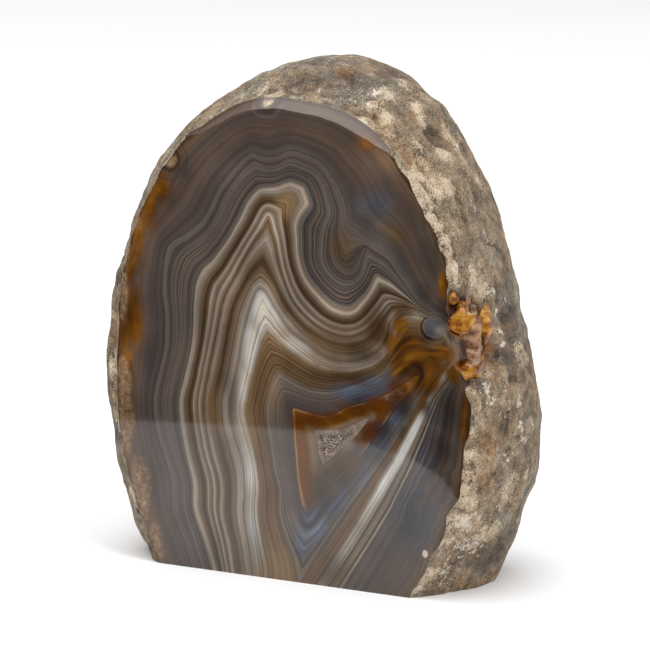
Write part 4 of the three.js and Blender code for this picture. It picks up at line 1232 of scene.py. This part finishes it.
# How pale the rind looks: random wear in its tone, plus painted shade that makes the tops of its
# grain lighter and its hollows darker.
def wear_and_cavity_shade(r, patches, coarse, sand):
    worn_and_cavity_shade = r.times_plus(r.attribute("relief"), 0.16, r.times(coarse, 0.42))
    worn_and_cavity_shade = r.plus(worn_and_cavity_shade, r.times(patches, 0.15))
    worn_and_cavity_shade = r.plus(worn_and_cavity_shade, r.times(sand, 0.6))
    return r.minus(worn_and_cavity_shade, 0.076)


# The rind's ground: brown in some places and grey in others, with tan in loose patches.
def rind_ground(r, worn_and_cavity_shade):
    brown = r.ramp(worn_and_cavity_shade, [
        (0.36, tone(58, 47, 36)), (0.44, tone(98, 82, 63)), (0.51, tone(132, 113, 89)),
        (0.58, tone(160, 140, 113)), (0.70, tone(196, 178, 150)),
    ])
    grey = r.ramp(worn_and_cavity_shade, [
        (0.36, tone(58, 50, 43)), (0.46, tone(106, 95, 81)), (0.55, tone(144, 131, 113)),
        (0.70, tone(190, 177, 157)),
    ])
    tan = r.ramp(worn_and_cavity_shade, [
        (0.38, tone(110, 76, 48)), (0.5, tone(158, 122, 84)), (0.64, tone(196, 168, 132)),
    ])
    colour = r.mix(brown, grey, r.fit(r.noise(42, 6, 0.6, twist=0.5), 0.47, 0.56))
    in_patches = r.fit(r.noise(60, 6, 0.7, twist=0.9), 0.54, 0.6)
    return r.mix(colour, tan, r.times(in_patches, 0.55))


# Lays a tint where the rind has spots of that name, with a ragged edge.
def patch(r, colour, ragged, name, tint, share, at, soft):
    edge = r.plus(ragged, r.attribute(name))
    return r.mix(colour, tint, r.times(r.fit(edge, at - soft, at + soft), share))


# Loose cream crust here and there, then dark patches (partly painted shadow along the face's edge),
# cream and rusty patches and chalky flakes.
def rind_patches(r, colour, worn_and_cavity_shade, sand, ragged):
    cream = r.ramp(worn_and_cavity_shade, [
        (0.38, tone(132, 106, 78)), (0.48, tone(188, 166, 138)), (0.6, tone(216, 200, 176)),
        (0.7, tone(232, 220, 202)),
    ])
    loose = r.plus(r.noise(130, 8, 0.72, twist=0.8), r.times(r.minus(sand, 0.5), 0.2))
    colour = r.mix(colour, cream, r.times(r.fit(loose, 0.57, 0.61), 0.5))
    shade = r.ramp(worn_and_cavity_shade, [
        (0.38, tone(44, 36, 30)), (0.52, tone(88, 76, 63)), (0.68, tone(140, 126, 108)),
    ])
    colour = patch(r, colour, ragged, "shade", shade, 0.85, 0.5, 0.4)
    colour = patch(r, colour, ragged, "cream", cream, 0.9, 0.52, 0.15)
    rust = r.ramp(worn_and_cavity_shade, [
        (0.4, tone(92, 54, 26)), (0.52, tone(136, 94, 54)), (0.66, tone(182, 142, 98)),
    ])
    colour = patch(r, colour, ragged, "rust", rust, 0.75, 0.6, 0.25)
    flaky = r.times(r.minus(r.noise(720, 6, 0.75, twist=0.6), 0.5), 3.3)
    flakes = r.fit(r.plus(flaky, r.attribute("chalk")), 0.66, 0.84)
    return r.mix(colour, tone(220, 208, 192), r.times(flakes, 0.9))


# The weathered outside: brown-grey grain with painted shade, paler where it stands up and darker in
# its hollows, with cream crust, chalk, rust and dark patches (partly painted shadow) in their own
# places.
def weathered_rind():
    r = Recipe("weathered_rind")
    patches = r.noise(110, 6, 0.66, twist=0.5)
    coarse = r.noise(420, 6, 0.7, twist=0.2)
    sand = r.noise(2300, 3, 0.7)
    worn_and_cavity_shade = wear_and_cavity_shade(r, patches, coarse, sand)
    ragged = r.minus(r.noise(250, 9, 0.78, twist=0.4), 0.5)
    ragged = r.times_plus(ragged, 2.7, r.times(r.minus(sand, 0.5), 1.2))
    colour = rind_patches(r, rind_ground(r, worn_and_cavity_shade), worn_and_cavity_shade, sand, ragged)
    # Small pits, dented by the bump and darkened inside with painted shade.
    pits = r.times(r.fade(r.cells(560)["Distance"], 0.05, 0.2), r.fit(patches, 0.46, 0.6))
    colour = r.mix(colour, tone(46, 36, 28), r.times(pits, 0.7))
    # The outbreak's hollow: dark amber, partly its own colour and partly painted shade, and
    # glossier.
    hollow = r.fit(r.times_plus(ragged, 0.5, r.attribute("hollow")), 0.35, 0.6)
    colour = r.mix(colour, r.ramp(patches, [
        (0.36, tone(26, 12, 5)), (0.5, tone(64, 34, 10)), (0.58, tone(126, 70, 14)),
        (0.68, tone(178, 112, 40)),
    ]), hollow)
    height = r.times_plus(coarse, 0.9, r.times(sand, 0.22))
    height = r.minus(height, r.times(pits, 0.4))
    rough = r.minus(r.spread(patches, 0.62, 0.9), r.times(hollow, 0.45))
    return r.finish(Base_Color=colour, Roughness=rough, IOR=1.5,
                    Normal=r.bump(height, 0.95, 0.0012))


# Broken chalcedony in the outbreak: amber that glows at its thin edges, and pinkish tan.
def broken_chalcedony():
    r = Recipe("broken_chalcedony")
    edge = r.noise(900, 4, 0.6)
    layers = r.noise(1, 3, 0.6, r.stretch((150, 150, 420)), twist=0.6)
    cloud = r.noise(420, 4, 0.65)
    amber = r.ramp(r.times_plus(cloud, 0.5, r.times(layers, 0.5)), [
        (0.38, tone(74, 32, 2)), (0.45, tone(134, 72, 2)), (0.52, tone(190, 122, 12)),
        (0.62, tone(226, 176, 78)),
    ])
    pink = r.ramp(r.times_plus(edge, 0.3, r.times(layers, 0.7)), [
        (0.38, tone(82, 50, 30)), (0.47, tone(138, 98, 70)), (0.54, tone(172, 134, 104)),
        (0.64, tone(206, 176, 148)),
    ])
    colour = r.mix(amber, pink, r.attribute("pink"))
    return r.finish(
        Base_Color=colour, Roughness=r.fit(cloud, 0.3, 0.7, 0.18, 0.36, smooth=False),
        IOR=1.54, Transmission_Weight=0.3, Subsurface_Weight=0.2, Subsurface_Scale=0.001,
        Normal=r.bump(cloud, 0.2, 0.0004),
    )


# The sawn underside: the same bands, ground but not polished.
def sawn_agate():
    r = Recipe("sawn_agate")
    band = r.times_plus(r.noise(90, 3), 0.7, r.attribute("band"))
    colour = r.ramp(r.fit(band, 0, 7, smooth=False), [
        (0.0, tone(140, 120, 96)), (0.08, tone(96, 74, 54)), (0.3, tone(92, 82, 74)),
        (0.42, tone(128, 118, 106)), (0.5, tone(86, 66, 46)), (0.7, tone(108, 96, 84)),
        (1.0, tone(84, 76, 72)),
    ])
    lines = r.noise(1, 2, 0.6, w=r.times(band, 9.0), kind="1D")
    colour = r.mix(colour, r.fit(lines, 0.3, 0.7, 0.75, 1.25, smooth=False), 1.0, "MULTIPLY")
    scratches = r.noise(1, 3, 0.6, r.stretch((2600, 160, 300)))
    return r.finish(
        Base_Color=colour, Roughness=r.fit(scratches, 0.3, 0.7, 0.28, 0.45, smooth=False),
        IOR=1.54, Normal=r.bump(scratches, 0.15, 0.0003),
    )


stone = stone_piece()
for finish in (polished_agate(), weathered_rind(), sawn_agate(), broken_chalcedony()):
    stone.data.materials.append(finish)
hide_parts("agate_stone")
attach(stone, "root")

# The quartz crust of the pocket: a bed that fills its floor, grown over with small crystals.
BED_MARGIN, BED_TAPER = 0.05, 0.85
BED_GRAIN = 0.4
BED_RIM, BED_TOP, BED_UNDER = 0.06, 0.5, 2.38
BED_SLOPE = (0.7, 2.4)
POLISH_LIMIT = 0.04
CRYSTALS_PER_SQUARE_METRE = 14e6
SMALLEST_CRYSTAL, LARGEST_CRYSTAL = 0.07 * MM, 0.2 * MM
CRYSTAL_SEED = 7


def quartz_bed():
    outline = with_steps(drawn_in(POCKET_OUTLINE, BED_MARGIN), BED_GRAIN)
    flat, triangles = flat_sheet(outline, BED_GRAIN)
    sunk = smoothstep(distance_to_line(flat, closed(outline)), *BED_SLOPE)
    high = np.stack([flat[:, 0], BED_RIM + (BED_TOP - BED_RIM) * sunk, flat[:, 1]], 1)
    rough = 0.15 * smooth_noise(high, 2.2, 41) + 0.1 * smooth_noise(high, 0.9, 42)
    high[:, 1] -= rough * sunk
    middle = high.mean(0)
    low = (middle + (high - middle) * BED_TAPER) * (1, 0, 1) + (0, BED_UNDER, 0)
    faces = list(triangles)
    faces += [tuple(len(flat) + v for v in reversed(face)) for face in triangles]
    rim = len(outline)
    for i in range(rim):
        after = (i + 1) % rim
        faces.append((after, i, len(flat) + i, len(flat) + after))
    mesh = bpy.data.meshes.new("quartz_crust")
    mesh.from_pydata(((np.concatenate([high, low]) - FOOTPRINT_MIDDLE) * MM).tolist(), [], faces)
    add_attribute(mesh, "open", np.concatenate([sunk, np.zeros(len(low))]))
    bed = bpy.data.objects.new("quartz_crust", mesh)
    bpy.context.scene.collection.objects.link(bed)
    return bed


def milky_quartz_bed():
    r = Recipe("milky_quartz_bed")
    cloud = r.noise(500, 4, 0.65)
    colour = r.mix(sugary_grains(r), r.ramp(cloud, [
        (0.35, tone(102, 85, 72)), (0.5, tone(118, 101, 89)), (0.65, tone(136, 120, 108)),
    ]), 0.85)
    return r.finish(Base_Color=colour, Roughness=r.fit(cloud, 0.3, 0.7, 0.25, 0.5, smooth=False),
                    IOR=1.544, Normal=r.bump(r.noise(2400, 3), 0.5, 0.0002))


def clear_quartz():
    r = Recipe("clear_quartz")
    veil = r.noise(700, 4, 0.6)
    colour = r.ramp(veil, [(0.35, tone(146, 126, 112)), (0.5, tone(172, 154, 142)),
                           (0.7, tone(216, 206, 198))])
    return r.finish(Base_Color=colour, Roughness=r.fit(veil, 0.3, 0.7, 0.04, 0.18, smooth=False),
                    IOR=1.544, Transmission_Weight=0.2)


# Grows six-sided pointed crystals out of a mesh, most where its "open" value is highest.
def crystal_growth(material):
    tree = bpy.data.node_groups.new("crystal_growth", "GeometryNodeTree")
    sockets = tree.interface
    sockets.new_socket("Geometry", in_out="INPUT", socket_type="NodeSocketGeometry")
    for name in ("Crowding", "Smallest", "Largest"):
        sockets.new_socket(name, in_out="INPUT", socket_type="NodeSocketFloat")
    sockets.new_socket("Seed", in_out="INPUT", socket_type="NodeSocketInt")
    sockets.new_socket("Geometry", in_out="OUTPUT", socket_type="NodeSocketGeometry")
    link = tree.links.new

    def node(kind, **inputs):
        made = tree.nodes.new(kind)
        for name, value in inputs.items():
            socket = made.inputs[name.replace("_", " ")]
            if isinstance(value, bpy.types.NodeSocket):
                link(value, socket)
            else:
                socket.default_value = value
        return made

    given = node("NodeGroupInput")
    bed = given.outputs["Geometry"]
    shaft = node("GeometryNodeMeshCone", Vertices=6, Radius_Top=0.9, Radius_Bottom=1.0, Depth=2.4)
    tip = node("GeometryNodeMeshCone", Vertices=6, Radius_Top=0.05, Radius_Bottom=0.9, Depth=1.3)
    raised = node("GeometryNodeTransform", Geometry=tip.outputs["Mesh"], Translation=(0, 0, 2.4))
    crystal = node("GeometryNodeJoinGeometry")
    link(shaft.outputs["Mesh"], crystal.inputs["Geometry"])
    link(raised.outputs["Geometry"], crystal.inputs["Geometry"])
    share = node("GeometryNodeInputNamedAttribute", Name="open")
    crowding = node("ShaderNodeMath")
    crowding.operation = "MULTIPLY"
    link(given.outputs["Crowding"], crowding.inputs[0])
    link(share.outputs["Attribute"], crowding.inputs[1])
    places = node("GeometryNodeDistributePointsOnFaces", Mesh=bed,
                  Density=crowding.outputs[0], Seed=given.outputs["Seed"])
    tilt = node("FunctionNodeRandomValue")
    tilt.data_type = "FLOAT_VECTOR"
    tilt.inputs[0].default_value = (-0.7, -0.7, -3.2)
    tilt.inputs[1].default_value = (0.7, 0.7, 3.2)
    link(given.outputs["Seed"], tilt.inputs["Seed"])
    turned = node("FunctionNodeRotateRotation", Rotation=places.outputs["Rotation"])
    turned.rotation_space = "LOCAL"
    link(tilt.outputs[0], turned.inputs["Rotate By"])
    size = node("FunctionNodeRandomValue")
    size.data_type = "FLOAT"
    link(given.outputs["Smallest"], size.inputs[2])
    link(given.outputs["Largest"], size.inputs[3])
    link(given.outputs["Seed"], size.inputs["Seed"])
    grown = node("GeometryNodeInstanceOnPoints", Points=places.outputs["Points"],
                 Instance=crystal.outputs["Geometry"], Rotation=turned.outputs["Rotation"],
                 Scale=size.outputs[1])
    real = node("GeometryNodeRealizeInstances", Geometry=grown.outputs["Instances"])
    clad = node("GeometryNodeSetMaterial", Geometry=real.outputs["Geometry"], Material=material)
    whole = node("GeometryNodeJoinGeometry")
    link(clad.outputs["Geometry"], whole.inputs["Geometry"])
    link(bed, whole.inputs["Geometry"])
    result = node("NodeGroupOutput")
    link(whole.outputs["Geometry"], result.inputs["Geometry"])
    return tree


# Crystals that would stand out of the polished face are ground off level with it.
def ground_flush(mesh):
    points = np.empty(len(mesh.vertices) * 3, np.float32)
    mesh.vertices.foreach_get("co", points)
    points = points.reshape(-1, 3)
    face_level = (POLISH_LIMIT - FOOTPRINT_MIDDLE[1]) * MM
    points[:, 1] = np.maximum(points[:, 1], face_level)
    mesh.vertices.foreach_set("co", points.ravel())
    mesh.update()


def quartz_crust():
    bed = quartz_bed()
    bed.data.materials.append(milky_quartz_bed())
    growth = bed.modifiers.new("growth", "NODES")
    growth.node_group = crystal_growth(clear_quartz())
    wanted = {"Crowding": CRYSTALS_PER_SQUARE_METRE, "Smallest": SMALLEST_CRYSTAL,
              "Largest": LARGEST_CRYSTAL, "Seed": CRYSTAL_SEED}
    for item in growth.node_group.interface.items_tree:
        if item.name in wanted:
            growth[item.identifier] = wanted[item.name]
    view = bpy.context.evaluated_depsgraph_get()
    grown = bpy.data.meshes.new_from_object(bed.evaluated_get(view))
    bed.modifiers.clear()
    bed.data = grown
    ground_flush(grown)
    return bed


crust = quartz_crust()
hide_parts("druse_crystals")
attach(crust, "root")


def in_place(x, y, z):
    return Vector((np.array([x, y, z]) - FOOTPRINT_MIDDLE) * MM)


# Camera at the photograph's place, about 0.9 m away and a little above the stone.
PHOTO_SIDE = 650
FOCUS_IN_PIXELS = 3708
SENSOR = 36.0
CAMERA_PLACE = (451.46, -762.06, 219.87)
CAMERA_AIM = (8.3, 5.52, 63.58)
camera = bpy.data.objects.new("camera", bpy.data.cameras.new("camera"))
camera.data.sensor_width = SENSOR
camera.data.lens = FOCUS_IN_PIXELS / PHOTO_SIDE * SENSOR
camera.data.clip_start = 0.01
camera.location = in_place(*CAMERA_PLACE)
camera.rotation_euler = (in_place(*CAMERA_AIM) - camera.location).to_track_quat("-Z", "Y").to_euler()
bpy.context.scene.collection.objects.link(camera)
bpy.context.scene.camera = camera


def plain_sheet(name, corners, material):
    mesh = bpy.data.meshes.new(name)
    mesh.from_pydata(corners, [], [tuple(range(len(corners)))])
    mesh.materials.append(material)
    sheet = bpy.data.objects.new(name, mesh)
    bpy.context.scene.collection.objects.link(sheet)
    return sheet


def plain_finish(name, colour, roughness):
    r = Recipe(name)
    shade = r.fit(r.noise(3, 2), 0.3, 0.7, 0.99, 1.0, smooth=False)
    return r.finish(Base_Color=r.mix(colour, shade, 1.0, "MULTIPLY"), Roughness=roughness)


FLOOR_REACH = 3000
# The pale floor ends in a rounded front edge, and what lies past it is dark in the polish.
PALE_FLOOR_EDGE = [(-FLOOR_REACH, -120), (-260, -134), (-136.7, -143.3), (-112, -151),
                   (-88.6, -155.2), (-62, -149), (-39.6, -137), (-20, -119), (-6.5, -101),
                   (20, -70), (FLOOR_REACH, 300)]


def on_floor(corners, height):
    return [in_place(x, y, height) for x, y in corners]


plain_sheet("floor", on_floor([
    (-FLOOR_REACH, -FLOOR_REACH), (FLOOR_REACH, -FLOOR_REACH),
    (FLOOR_REACH, FLOOR_REACH), (-FLOOR_REACH, FLOOR_REACH),
], 0), plain_finish("pale_floor", (0.95, 0.95, 0.95, 1), 0.9))
dark_room = plain_sheet("dark_room", on_floor(
    PALE_FLOOR_EDGE + [(FLOOR_REACH, -FLOOR_REACH), (-FLOOR_REACH, -FLOOR_REACH)], 1,
), plain_finish("dark_room", (0.004, 0.004, 0.004, 1), 1.0))
# The black sheet is seen only in reflections, where it stands in for the dark room past the floor as
# a painted dark reflection.
for ray in ("visible_camera", "visible_diffuse", "visible_shadow", "visible_transmission"):
    setattr(dark_room, ray, False)


LIT_PLACE = (0, 20, 60)


def soft_box(name, place, size, power):
    lamp = bpy.data.lights.new(name, "AREA")
    lamp.shape = "RECTANGLE"
    lamp.size, lamp.size_y = size
    lamp.energy = power
    light = bpy.data.objects.new(name, lamp)
    light.location = in_place(*place)
    ahead = in_place(*LIT_PLACE) - light.location
    light.rotation_euler = ahead.to_track_quat("-Z", "Y").to_euler()
    bpy.context.scene.collection.objects.link(light)


soft_box("ceiling_softbox", (-300, -300, 3000), (4.0, 3.0), 105)
soft_box("right_softbox", (900, -350, 900), (0.5, 0.5), 6)

# The white room gives a soft light and looks white behind the stone.
ROOM_LIGHT, ROOM_WHITE = 0.40, 1.05
world = bpy.data.worlds.new("studio")
world.use_nodes = True
bpy.context.scene.world = world
room = world.node_tree.nodes
seen = room.new("ShaderNodeLightPath").outputs["Is Camera Ray"]
strength = room.new("ShaderNodeMapRange")
strength.inputs["To Min"].default_value = ROOM_LIGHT
strength.inputs["To Max"].default_value = ROOM_WHITE
world.node_tree.links.new(seen, strength.inputs["Value"])
world.node_tree.links.new(strength.outputs["Result"], room["Background"].inputs["Strength"])
room["Background"].inputs["Color"].default_value = (1, 1, 1, 1)
bpy.context.scene.view_settings.view_transform = "Standard"
